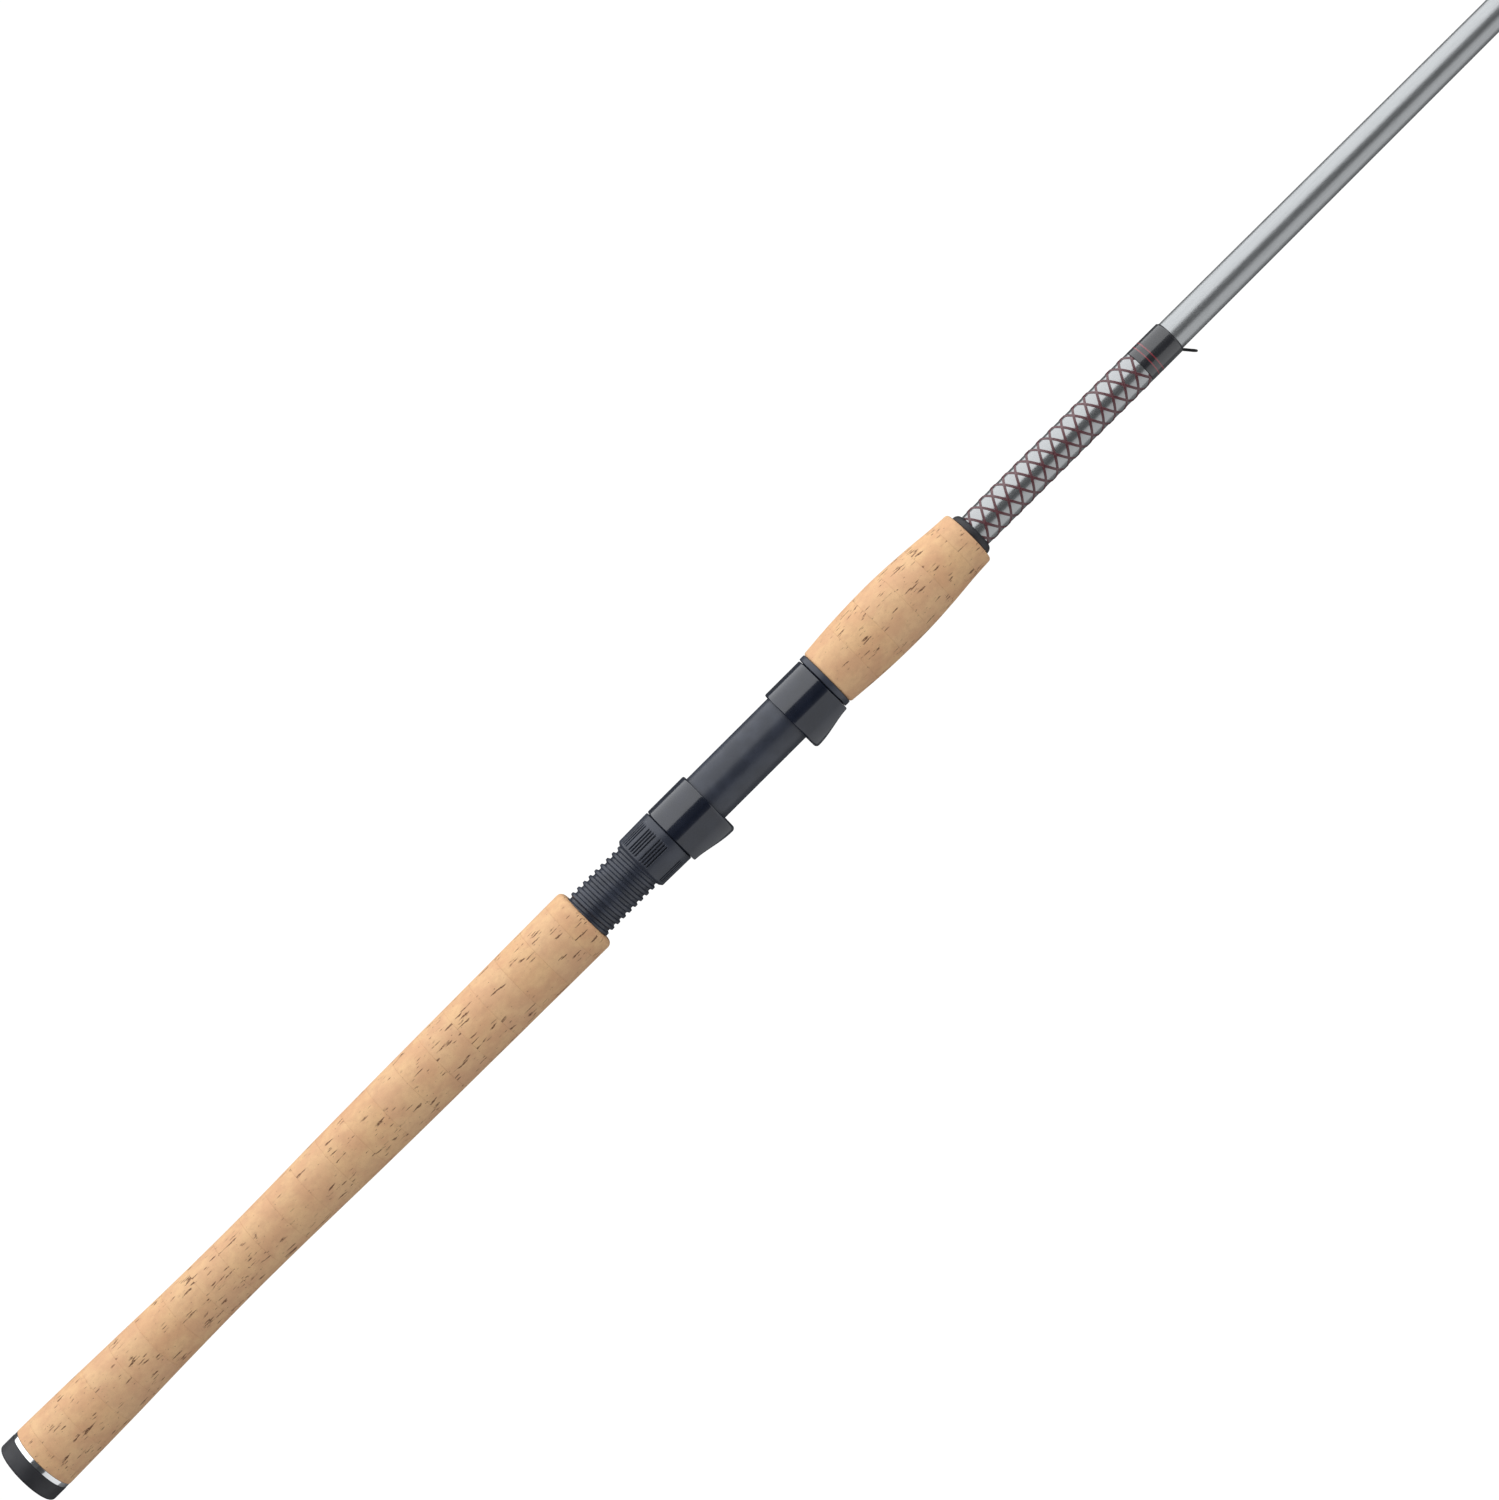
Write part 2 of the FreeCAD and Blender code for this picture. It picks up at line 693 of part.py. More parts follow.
def decorative_wrap():
    """Crossed thread layer ahead of the fore grip, and the clear finish over it."""
    start = "dims.fore_end + dims.check_length"
    under = grown(blank_radius, "dims.glue_gap")
    over = grown(blank_radius, "dims.glue_gap + dims.thread_layer")
    keep(tube("diamond_wrap", start, "dims.wrap_end", under, over), "diamond_wrap")
    keep(tube("wrap_finish", start, "dims.wrap_end", over,
              lambda x: "(dims.finish_radius)"), "wrap_finish")


def hook_keeper():
    """Wire loop for the hook, with two flattened feet on the butt tube."""
    tip_side = value("dims.keeper_wrap_end")
    seat_radius = value(blank_radius("dims.wrap_end")) + value("dims.glue_gap")
    thickness = value("dims.keeper_foot_thickness")
    wire = value("dims.keeper_wire")
    half_gap = value("dims.keeper_half_gap")
    lean = math.radians(value("dims.keeper_lean"))
    pieces = []
    for side in (-1, 1):
        foot = document.addObject("Part::Box", f"keeper_foot_{'left' if side < 0 else 'right'}")
        foot.setExpression("Length", "dims.keeper_foot_length")
        foot.setExpression("Width", "dims.keeper_foot_width")
        foot.setExpression("Height", "dims.keeper_foot_thickness")
        foot.Placement.Base = Vector(
            tip_side - value("dims.keeper_foot_length") + value("dims.keeper_foot_lead"),
            side * half_gap - value("dims.keeper_foot_width") / 2,
            -seat_radius - thickness)
        pieces.append(foot)
    root = Vector(tip_side + wire, 0, -seat_radius - thickness / 2)
    out = Vector(math.cos(lean), 0, -math.sin(lean))
    low = root + out * value("dims.keeper_reach")
    across = Vector(0, half_gap, 0)
    crown = low + out * half_gap
    wire_path = Part.Wire([
        Part.LineSegment(root - across, low - across).toShape(),
        Part.Arc(low - across, crown, low + across).toShape(),
        Part.LineSegment(low + across, root + across).toShape(),
    ])
    section = Part.Wire([Part.Circle(root - across, out, wire).toShape()])
    loop = document.addObject("Part::Feature", "keeper_loop")
    loop.Shape = wire_path.makePipeShell([section], True, False)
    pieces.append(loop)
    fused = document.addObject("Part::MultiFuse", "keeper_fused")
    fused.Shapes = pieces
    round_seat = document.addObject("Part::Cylinder", "keeper_seat")
    round_seat.Radius = seat_radius
    round_seat.Height = 2 * value("dims.keeper_foot_length")
    round_seat.Placement = FreeCAD.Placement(
        Vector(tip_side - value("dims.keeper_foot_length") * 1.5, 0, 0), ALONG_X)
    keeper = cut("keeper_cut", fused, round_seat)
    return keep(keeper, "hook_keeper")


def keeper_wrap(keeper):
    """Dark thread wrap that binds the keeper's feet to the tube."""
    taper = "dims.keeper_wrap_end"
    body = turned_body("keeper_wrap_full", [
        ("dims.wrap_end", f"({blank_radius('dims.wrap_end')} + dims.glue_gap)"),
        (taper, f"({blank_radius(taper)} + dims.glue_gap)"),
        (taper, f"({blank_radius(taper)} + 0.2)"),
        (f"{taper} - 2.5", "dims.keeper_wrap_radius - 0.06"),
        ("dims.wrap_end", "dims.keeper_wrap_radius"),
    ])
    return keep(cut("keeper_wrap_cut", body, keeper), "keeper_wrap")


# ---------------------------------------------------------------- the two tubes

def butt_blank():
    """Lower tapered tube, from the butt cap to its plain end inside the tip tube."""
    end = "dims.ferrule_start + dims.ferrule_length"
    return keep(tube("butt_blank", "dims.blank_start", end,
                     grown(blank_radius, "-dims.blank_wall"), blank_radius), "butt_blank")


def tip_blank():
    """Upper tapered tube, whose base is a socket over the lower tube's end."""
    mouth = "dims.ferrule_start"
    stop = "dims.ferrule_start + dims.ferrule_length + dims.socket_spare"
    socket = grown(blank_radius, "dims.ferrule_gap")
    end = "dims.rod_length - dims.tip_end_gap"
    return keep(turned_body("tip_blank", [
        (mouth, socket(mouth)),
        (stop, socket(stop)),
        (f"{stop} + dims.socket_taper", f"{tip_radius(stop)} - dims.tip_wall"),
        (end, "dims.tip_bore_end_radius"),
        (end, tip_radius(end)),
        (mouth, tip_radius(mouth)),
    ]), "tip_blank")


# ---------------------------------------------------------------- guides

def wire(name, start, end):
    """A straight round strut between two points."""
    strut = document.addObject("Part::Cylinder", name)
    strut.setExpression("Radius", "dims.guide_wire")
    strut.Height = (end - start).Length
    strut.Placement = FreeCAD.Placement(start, FreeCAD.Rotation(Vector(0, 0, 1), end - start))
    return strut


def guide_foot(name, start, end, blank_at):
    """A flat foot along the underside of a tube between two places."""
    radius = value(blank_at(min(start, end))) + value("dims.glue_gap")
    foot = document.addObject("Part::Box", name)
    foot.Length = abs(end - start)
    foot.setExpression("Width", "dims.guide_foot_width")
    foot.Height = value("dims.guide_foot_thickness") + 0.25
    foot.Placement.Base = Vector(min(start, end), -value("dims.guide_foot_width") / 2,
                                 -radius - value("dims.guide_foot_thickness"))
    seat = tube(name + "_seat", f"{min(start, end) - 5}", f"{max(start, end) + 5}",
                lambda x: "0", grown(blank_at, "dims.glue_gap"))
    return cut(name + "_seated", foot, seat)


def ring_holder(name, x, z, outer):
    """The frame's round hoop that grips a ceramic ring of the outer radius given."""
    hoop = turned_body(name, [
        ("0", str(outer)),
        ("dims.guide_holder_width", str(outer)),
        ("dims.guide_holder_width", f"{outer} + dims.guide_holder_wall"),
        ("0", f"{outer} + dims.guide_holder_wall"),
    ])
    hoop.Placement.Base = Vector(x - value("dims.guide_holder_width") / 2, 0, z)
    return hoop


def ring_insert(name, x, z, outer):
    """A ceramic ring with a rounded bore, held in a guide's hoop."""
    body = turned_body(name, [
        ("0", f"{outer} - 0.27 * dims.guide_insert_wall"),
        ("0.35", str(outer)),
        ("dims.guide_holder_width + 0.25", str(outer)),
        ("dims.guide_holder_width + 0.6", f"{outer} - 0.27 * dims.guide_insert_wall"),
        ("dims.guide_holder_width * 0.62 + 0.3", f"{outer} - dims.guide_insert_wall"),
        ("dims.guide_holder_width * 0.38 + 0.3", f"{outer} - dims.guide_insert_wall"),
    ])
    body.Placement.Base = Vector(x - value("dims.guide_holder_width") / 2 - 0.3, 0, z)
    return keep(body, name)


def guide(number, from_tip, ring_radius, drop, foot_length, feet):
    """One line guide: a wire frame on the tube's underside and its ceramic ring."""
    x = value("dims.rod_length") - from_tip
    on_butt = x < value("dims.ferrule_start")
    blank_at = blank_radius if on_butt else tip_radius
    name = f"guide_{number}"
    pieces = [ring_holder(f"{name}_hoop", x, -drop, ring_radius)]
    surface = value(blank_at(x))
    reach = value("dims.guide_heel_share") * drop
    lift = math.radians(value("dims.guide_grip_lift"))
    half_gap = value("dims.guide_strut_half_gap")
    hoop_radius = ring_radius + value("dims.guide_holder_wall") / 2
    directions = (1, -1) if feet == 2 else (1,)
    wraps = []
    for direction in directions:
        heel = x + direction * reach
        foot_end = heel + direction * foot_length
        pieces.append(guide_foot(f"{name}_foot_{direction % 3}", heel - direction, foot_end,
                                 blank_at))
        wraps.append((heel + direction * value("dims.guide_wrap_set_back"),
                      foot_end + direction * value("dims.guide_wrap_overrun")))
        for side in (-1, 1):
            grip = Vector(x, side * hoop_radius * math.cos(lift),
                          -drop + hoop_radius * math.sin(lift))
            land = Vector(heel, side * half_gap, -surface - value("dims.guide_wire") * 0.75)
            pieces.append(wire(f"{name}_strut_{direction % 3}_{side % 3}", grip, land))
    frame = document.addObject("Part::MultiFuse", name + "_frame_fused")
    frame.Shapes = pieces
    document.recompute()
    bore = document.addObject("Part::Cylinder", name + "_bore")
    bore.Radius = ring_radius
    bore.Height = 8
    bore.Placement = FreeCAD.Placement(Vector(x - 4, 0, -drop), ALONG_X)
    keep(cut(name + "_frame_cut", frame, bore), name + "_frame")
    ring_insert(name + "_ring", x, -drop, ring_radius)
    return on_butt, blank_at, wraps, exported[-2]


def guide_wrap(name, span, blank_at, frame):
    """A thread wrap over one guide foot."""
    start, end = sorted(span)
    inner = grown(blank_at, "dims.glue_gap")
    outer = grown(blank_at, "dims.guide_foot_thickness + dims.guide_wrap_cover")
    edge = 1.5
    sleeve = turned_body(name, [
        (str(start), inner(start)),
        (str(end), inner(end)),
        (str(end), f"{inner(end)} + 0.2"),
        (str(end - edge), outer(end - edge)),
        (str(start + edge), outer(start + edge)),
        (str(start), f"{inner(start)} + 0.2"),
    ])
    return cut(name + "_bound", sleeve, frame)


def tip_top():
    """Tip-top: a tube over the rod's tip that carries the last ring on two struts."""
    end = value("dims.rod_length")
    length = value("dims.tip_tube_length")
    bore = grown(tip_radius, "dims.glue_gap")
    start = f"dims.rod_length - {length}"
    close = "dims.rod_length - 1.8"
    sleeve = turned_body("tip_tube", [
        (start, bore(start)),
        (close, bore(close)),
        (close, "0"),
        ("dims.rod_length", "0"),
        ("dims.rod_length", "dims.tip_tube_radius"),
        (start, "dims.tip_tube_radius"),
    ])
    drop = TIP_RING_RADIUS + value("dims.guide_holder_wall") + 0.5
    ring_x = end - value("dims.guide_holder_width")
    hoop_radius = TIP_RING_RADIUS + value("dims.guide_holder_wall") / 2
    pieces = [sleeve, ring_holder("tip_top_hoop", ring_x, -drop, TIP_RING_RADIUS)]
    for side in (-1, 1):
        grip = Vector(ring_x, side * hoop_radius * 0.9, -drop - hoop_radius * 0.43)
        land = Vector(end - length + 3, side * 0.4, -value("dims.tip_tube_radius") + 0.3)
        pieces.append(wire(f"tip_top_strut_{side % 3}", grip, land))
    pieces.append(wire("tip_top_bridge", Vector(end - 1.4, 0, -0.9),
                       Vector(ring_x, 0, -drop + hoop_radius)))
    fused = document.addObject("Part::MultiFuse", "tip_top_fused")
    fused.Shapes = pieces
    clear = document.addObject("Part::Cylinder", "tip_top_bore")
    clear.Radius = TIP_RING_RADIUS
    clear.Height = 8
    clear.Placement = FreeCAD.Placement(Vector(ring_x - 4, 0, -drop), ALONG_X)
    cleared = cut("tip_top_cleared", fused, clear)
    tip_end = tube("tip_top_socket", f"dims.rod_length - {length} - 1", close,
                   lambda x: "0", bore)
    keep(cut("tip_top_frame_cut", cleared, tip_end), "tip_top_frame")
    ring_insert("tip_top_ring", ring_x, -drop, TIP_RING_RADIUS)


def guides_and_wraps():
    """All guides, and their thread wraps grouped by the tube that carries them."""
    groups = {"guide_wraps_butt": [], "guide_wraps_tip": []}
    for number, row in enumerate(GUIDES, start=1):
        on_butt, blank_at, spans, frame = guide(number, *row)
        group = groups["guide_wraps_butt" if on_butt else "guide_wraps_tip"]
        for place, span in enumerate(spans, start=1):
            group.append(guide_wrap(f"guide_{number}_wrap_{place}", span, blank_at, frame))
    for name, wraps in groups.items():
        compound = document.addObject("Part::Compound", name)
        compound.Links = wraps
        keep(compound, name)


def ferrule_wrap():
    """Thread wrap that stops the tip tube's socket from splitting."""
    start = "dims.ferrule_start"
    end = "dims.ferrule_start + dims.ferrule_wrap_length"
    return keep(tube("ferrule_wrap", start, end, grown(tip_radius, "dims.glue_gap"),
                     grown(tip_radius, "dims.ferrule_wrap_height")), "ferrule_wrap")


# ---------------------------------------------------------------- build and export

butt_cap()
butt_trim_ring()
rear_grip()
seat_body()
seat_arbors()
grooved_nut()
moving_hood()
fixed_hood()
fore_grip()
winding_check()
butt_blank()
decorative_wrap()
keeper_wrap(hook_keeper())
tip_blank()
ferrule_wrap()
guides_and_wraps()
tip_top()
document.recompute()

for item in document.Objects:
    if "Invalid" in item.State or "Error" in item.State:
        raise RuntimeError(f"{item.Label} failed: {item.State}")
for item in exported:
    if item.Shape.isNull() or not item.Shape.isValid() or not item.Shape.Solids:
        raise RuntimeError(f"{item.Label} has a bad shape")

os.makedirs("parts", exist_ok=True)
for item in exported:
    item.Shape.exportStep(f"parts/{item.Label}.step")
    solids, volume = len(item.Shape.Solids), item.Shape.Volume
    print(f"{item.Label}: {solids} solid(s), {volume:.1f} mm3")
print(len(exported), "nodes")
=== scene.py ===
import functools
import json
import math

import bpy
import numpy as np
from mathutils import Matrix, Vector, noise


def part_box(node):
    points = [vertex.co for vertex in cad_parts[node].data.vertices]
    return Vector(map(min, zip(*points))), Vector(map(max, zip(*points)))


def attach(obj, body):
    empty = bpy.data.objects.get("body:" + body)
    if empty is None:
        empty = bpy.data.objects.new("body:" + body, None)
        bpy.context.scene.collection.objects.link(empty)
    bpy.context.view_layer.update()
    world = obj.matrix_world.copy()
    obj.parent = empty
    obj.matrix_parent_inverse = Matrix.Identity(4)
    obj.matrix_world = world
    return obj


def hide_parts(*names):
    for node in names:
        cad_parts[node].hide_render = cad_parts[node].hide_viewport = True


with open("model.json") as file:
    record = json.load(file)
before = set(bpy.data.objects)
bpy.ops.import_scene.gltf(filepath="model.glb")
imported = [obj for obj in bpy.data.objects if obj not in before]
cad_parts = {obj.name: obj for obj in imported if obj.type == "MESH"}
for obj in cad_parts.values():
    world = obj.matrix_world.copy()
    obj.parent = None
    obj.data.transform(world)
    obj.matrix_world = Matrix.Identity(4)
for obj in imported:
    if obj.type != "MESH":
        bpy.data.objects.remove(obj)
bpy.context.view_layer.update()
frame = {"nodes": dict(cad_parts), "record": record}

MM = 0.001
LIGHT_LENGTH = 3.2        # metres along the rod
JOINT_EDGE = 0.10 * MM    # rounding where two cork rings meet


# ---------------------------------------------------------------- reading the frame

@functools.lru_cache(maxsize=None)
def span(node):
    """A node's lowest and highest x."""
    low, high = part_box(node)
    return low[0], high[0]


def node_points(node):
    """A node's vertices as an array."""
    mesh = frame["nodes"][node].data
    found = np.empty(len(mesh.vertices) * 3)
    mesh.vertices.foreach_get("co", found)
    return found.reshape(-1, 3)


def rim_radius(node, x, outer=True, within=0.02 * MM):
    """Largest or smallest radius among a node's vertices at x."""
    points = node_points(node)
    near = points[np.abs(points[:, 0] - x) < within]
    radii = np.hypot(near[:, 1], near[:, 2])
    return float(radii.max() if outer else radii.min())


def smooth_curve(xs, rs):
    """A function through the points (xs, rs) by cubic Hermite pieces."""
    xs, rs = np.array(xs), np.array(rs)
    slopes = np.gradient(rs, xs)

    def at(x):
        i = int(np.clip(np.searchsorted(xs, x) - 1, 0, len(xs) - 2))
        width = xs[i + 1] - xs[i]
        t = min(max((x - xs[i]) / width, 0.0), 1.0)
        a, b = rs[i], rs[i + 1]
        return float((2 * t**3 - 3 * t**2 + 1) * a + (t**3 - 2 * t**2 + t) * width * slopes[i]
                     + (3 * t**2 - 2 * t**3) * b + (t**3 - t**2) * width * slopes[i + 1])
    return at


# ---------------------------------------------------------------- mesh building

def new_object(name, vertices, faces, material, body, replaced=()):
    """Makes a smooth-shaded piece that rides on a body."""
    mesh = bpy.data.meshes.new(name)
    mesh.from_pydata([tuple(v) for v in vertices], [], faces)
    mesh.validate()
    mesh.polygons.foreach_set("use_smooth", [True] * len(mesh.polygons))
    mesh.materials.append(material)
    piece = bpy.data.objects.new(name, mesh)
    bpy.context.collection.objects.link(piece)
    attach(piece, body)
    if replaced:
        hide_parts(*replaced)
    return piece


def ring_faces(rows, around, wrap_rows):
    """Quads joining rows of around points each; wrap_rows closes the last row to the first."""
    faces = []
    for i in range(rows if wrap_rows else rows - 1):
        a, b = i * around, ((i + 1) % rows) * around
        for j in range(around):
            k = (j + 1) % around
            faces.append((a + j, a + k, b + k, b + j))
    return faces


def rounded_outline(corners, steps=5):
    """Replaces each (x, r, fillet) corner of a closed outline with an arc."""
    result = []
    count = len(corners)
    for i, (x, r, fillet) in enumerate(corners):
        here = Vector((x, r))
        before = Vector(corners[i - 1][:2]) - here
        after = Vector(corners[(i + 1) % count][:2]) - here
        if fillet <= 0:
            result.append((x, r))
            continue
        before_unit, after_unit = before.normalized(), after.normalized()
        half = before_unit.angle(after_unit) / 2
        back = min(fillet / math.tan(half), before.length * 0.49, after.length * 0.49)
        size = back * math.tan(half)
        centre = here + (before_unit + after_unit).normalized() * (size / math.sin(half))
        start = here + before_unit * back - centre
        turn = math.pi - 2 * half
        sign = 1 if before_unit.cross(after_unit) < 0 else -1
        for s in range(steps + 1):
            angle = sign * turn * s / steps
            c, n = math.cos(angle), math.sin(angle)
            spot = centre + Vector((start.x * c - start.y * n, start.x * n + start.y * c))
            result.append((spot.x, spot.y))
    return result


def turned(name, outline, material, body, replaced=(), around=128, relief=None,
           centre=(0, 0)):
    """Turns a closed (x, r) outline about an axis along X; relief changes r by (x, angle)."""
    vertices = []
    for x, r in outline:
        for j in range(around):
            angle = 2 * math.pi * j / around
            radius = relief(x, angle, r) if relief else r
            vertices.append((x, centre[0] + radius * math.cos(angle),
                             centre[1] + radius * math.sin(angle)))
    faces = ring_faces(len(outline), around, True)
    return new_object(name, vertices, [f[::-1] for f in faces], material, body, replaced)


def dense(points, step):
    """Adds points along an open line so that none are further apart than step."""
    result = [points[0]]
    for a, b in zip(points, points[1:]):
        count = max(1, math.ceil(math.hypot(b[0] - a[0], b[1] - a[1]) / step))
        for i in range(1, count + 1):
            result.append((a[0] + (b[0] - a[0]) * i / count, a[1] + (b[1] - a[1]) * i / count))
    return result


def swept(name, path, radius, material, body, replaced=(), sides=12, flat=1.0):
    """A round or flattened wire along a list of points, with closed ends."""
    vertices, faces = [], []
    up = Vector((0, 0.3, 1)).normalized()
    for i, point in enumerate(path):
        ahead = Vector(path[min(i + 1, len(path) - 1)]) - Vector(path[max(i - 1, 0)])
        ahead.normalize()
        side = ahead.cross(up).normalized()
        up = side.cross(ahead).normalized()
        size = radius(i / (len(path) - 1)) if callable(radius) else radius
        for j in range(sides):
            angle = 2 * math.pi * j / sides
            offset = side * math.cos(angle) * size + up * math.sin(angle) * size * flat
            vertices.append(Vector(point) + offset)
    faces = ring_faces(len(path), sides, False)
    last = (len(path) - 1) * sides
    faces.append(tuple(range(sides))[::-1])
    faces.append(tuple(range(last, last + sides)))
    return new_object(name, vertices, faces, material, body, replaced)


def joined(name, parts):
    """Joins several pieces that ride together into one."""
    bpy.ops.object.select_all(action="DESELECT")
    for part in parts:
        part.select_set(True)
    bpy.context.view_layer.objects.active = parts[0]
    bpy.ops.object.join()
    parts[0].name = name
    return parts[0]


# ---------------------------------------------------------------- materials

def new_material(name, color, roughness, metallic=0.0, coat=0.0, coat_roughness=0.05):
    """A Principled material, its node tree and its shader node."""
    material = bpy.data.materials.new(name)
    material.use_nodes = True
    tree = material.node_tree
    shader = tree.nodes["Principled BSDF"]
    shader.inputs["Base Color"].default_value = (*color, 1)
    shader.inputs["Roughness"].default_value = roughness
    shader.inputs["Metallic"].default_value = metallic
    shader.inputs["Coat Weight"].default_value = coat
    shader.inputs["Coat Roughness"].default_value = coat_roughness
    return material, tree, shader


def node(tree, kind, inputs=None, **settings):
    """Adds a node, sets its properties and its inputs; an input may be a value or a socket."""
    made = tree.nodes.new(kind)
    for key, setting in settings.items():
        setattr(made, key, setting)
    for key, given in (inputs or {}).items():
        if isinstance(given, bpy.types.NodeSocket):
            tree.links.new(given, made.inputs[key])
        else:
            made.inputs[key].default_value = given
    return made


def math_node(tree, operation, a, b=None, clamp=False):
    """One Math node's output."""
    inputs = {0: a} if b is None else {0: a, 1: b}
    return node(tree, "ShaderNodeMath", inputs, operation=operation, use_clamp=clamp).outputs[0]


def smooth_step(tree, given, low, high, out_low=0.0, out_high=1.0):
    """Map Range with a smooth step."""
    return node(tree, "ShaderNodeMapRange", {
        "Value": given, "From Min": low, "From Max": high, "To Min": out_low, "To Max": out_high,
    }, interpolation_type="SMOOTHSTEP").outputs[0]


def mix_color(tree, factor, a, b, blend="MIX"):
    """One colour Mix node's output."""
    made = node(tree, "ShaderNodeMix", data_type="RGBA", blend_type=blend)
    for key, given in ((0, factor), (6, a), (7, b)):
        if isinstance(given, bpy.types.NodeSocket):
            tree.links.new(given, made.inputs[key])
        else:
            made.inputs[key].default_value = given if key == 0 else (*given, 1)
    return made.outputs[2]


def position(tree):
    """Coordinates in the frame, in millimetres."""
    given = node(tree, "ShaderNodeTexCoord").outputs["Object"]
    return node(tree, "ShaderNodeVectorMath", {0: given, 1: (1000, 1000, 1000)},
                operation="MULTIPLY").outputs[0]


def stretched(tree, where, scale, offset=(0, 0, 0)):
    """Coordinates scaled on each axis, and moved."""
    made = node(tree, "ShaderNodeMapping", {"Vector": where, "Scale": scale})
    if isinstance(offset, bpy.types.NodeSocket):
        tree.links.new(offset, made.inputs["Location"])
    else:
        made.inputs["Location"].default_value = offset
    return made.outputs[0]


def noise_value(tree, where, scale, detail=2.0, rough=0.5):
    """A noise texture's value."""
    return node(tree, "ShaderNodeTexNoise", {
        "Vector": where, "Scale": scale, "Detail": detail, "Roughness": rough,
    }).outputs[0]


def bump(tree, shader, height, strength, distance):
    """Bump from a height socket."""
    made = node(tree, "ShaderNodeBump", {
        "Height": height, "Strength": strength, "Distance": distance * MM})
    tree.links.new(made.outputs[0], shader.inputs["Normal"])


CORK_DEEP = (0.680, 0.385, 0.205)
CORK_PALE = (0.755, 0.475, 0.245)
CORK_MOTTLE = (0.560, 0.310, 0.170)
CORK_OTHER_RING = (0.690, 0.470, 0.310)
CORK_SPECK = (0.420, 0.235, 0.130)
CORK_PORE = (0.120, 0.048, 0.018)
CORK_GLUE = (0.30, 0.17, 0.10)


def cork_material(name, first_joint, pitch):
    """Cork whose grain changes from ring to ring: streaks, pores, mottling and glue lines."""
    material, tree, shader = new_material(name, (0.6, 0.4, 0.24), 0.72)
    where = position(tree)
    along = node(tree, "ShaderNodeSeparateXYZ", {0: where}).outputs[0]
    turns = math_node(tree, "DIVIDE", math_node(tree, "SUBTRACT", along, first_joint), pitch)
    ring = math_node(tree, "FLOOR", turns)
    chance = node(tree, "ShaderNodeTexWhiteNoise", {"W": ring}, noise_dimensions="1D")
    shift = node(tree, "ShaderNodeVectorMath", {0: chance.outputs["Color"], 1: (80, 80, 80)},
                 operation="MULTIPLY").outputs[0]

    def grain(scale, size, detail=2.0, rough=0.5, offset=shift):
        return noise_value(tree, stretched(tree, where, scale, offset), size, detail, rough)

    broad = grain((0.7, 1, 1), 0.16, 3.0, 0.55, (0, 0, 0))
    mottle = grain((0.8, 1, 1), 0.45, 4.0, 0.6, (30, 0, 0))
    fine = grain((1, 1, 1), 5.0, 3.0, 0.6)
    base = mix_color(tree, smooth_step(tree, broad, 0.36, 0.66), CORK_DEEP, CORK_PALE)
    base = mix_color(tree, smooth_step(tree, mottle, 0.42, 0.75, 0.0, 0.42), base, CORK_MOTTLE)
    tone = smooth_step(tree, chance.outputs["Value"], 0.0, 1.0, 0.0, 0.12)
    base = mix_color(tree, tone, base, CORK_OTHER_RING)
    base = mix_color(tree, smooth_step(tree, fine, 0.35, 0.8, 0.0, 0.30), base, CORK_SPECK)

    where_streaks = smooth_step(tree, grain((0.6, 1, 1), 0.20, 2.0), 0.50, 0.58)
    long_grain = grain((0.13, 1.0, 1.0), 1.25, 2.0, 0.5)
    streak = smooth_step(tree, long_grain, 0.600, 0.640)
    streak = math_node(tree, "MULTIPLY", streak, where_streaks)
    short_grain = grain((0.4, 1.0, 1.0), 1.9, 2.0, 0.5)
    pore = smooth_step(tree, short_grain, 0.705, 0.76)
    marks = math_node(tree, "MAXIMUM", streak, pore)
    ragged = smooth_step(tree, grain((1, 1, 1), 2.6, 3.0, 0.7), 0.30, 0.55, 0.25, 1.0)
    marks = math_node(tree, "MULTIPLY", marks, ragged, clamp=True)
    dark = mix_color(tree, marks, base, CORK_PORE)

    share = math_node(tree, "FRACT", turns)
    edge = math_node(tree, "MINIMUM", share, math_node(tree, "SUBTRACT", 1.0, share))
    line = smooth_step(tree, edge, 0.0, 0.012, 0.12, 0.0)
    dark = mix_color(tree, line, dark, CORK_GLUE)
    tree.links.new(dark, shader.inputs["Base Color"])
    rough = smooth_step(tree, fine, 0.3, 0.8, 0.62, 0.85)
    tree.links.new(rough, shader.inputs["Roughness"])
    height = math_node(tree, "SUBTRACT", math_node(tree, "MULTIPLY", fine, 0.25), marks)
    bump(tree, shader, height, 0.5, 0.25)
    return material


def moulded_material(name, color, roughness, coat, grain_size, depth):
    """Moulded plastic or rubber with a fine surface grain and faint wear."""
    material, tree, shader = new_material(name, color, roughness, coat=coat)
    where = position(tree)
    fine = noise_value(tree, where, grain_size, 3.0)
    broad = noise_value(tree, where, 0.15, 3.0)
    darker = tuple(c * 0.82 for c in color)
    lighter = tuple(min(1.0, c * 1.12 + 0.002) for c in color)
    tree.links.new(mix_color(tree, smooth_step(tree, broad, 0.35, 0.7), darker, lighter),
                   shader.inputs["Base Color"])
    tree.links.new(smooth_step(tree, fine, 0.3, 0.7, roughness * 0.9, roughness * 1.12),
                   shader.inputs["Roughness"])
    bump(tree, shader, fine, 0.25, depth)
    return material


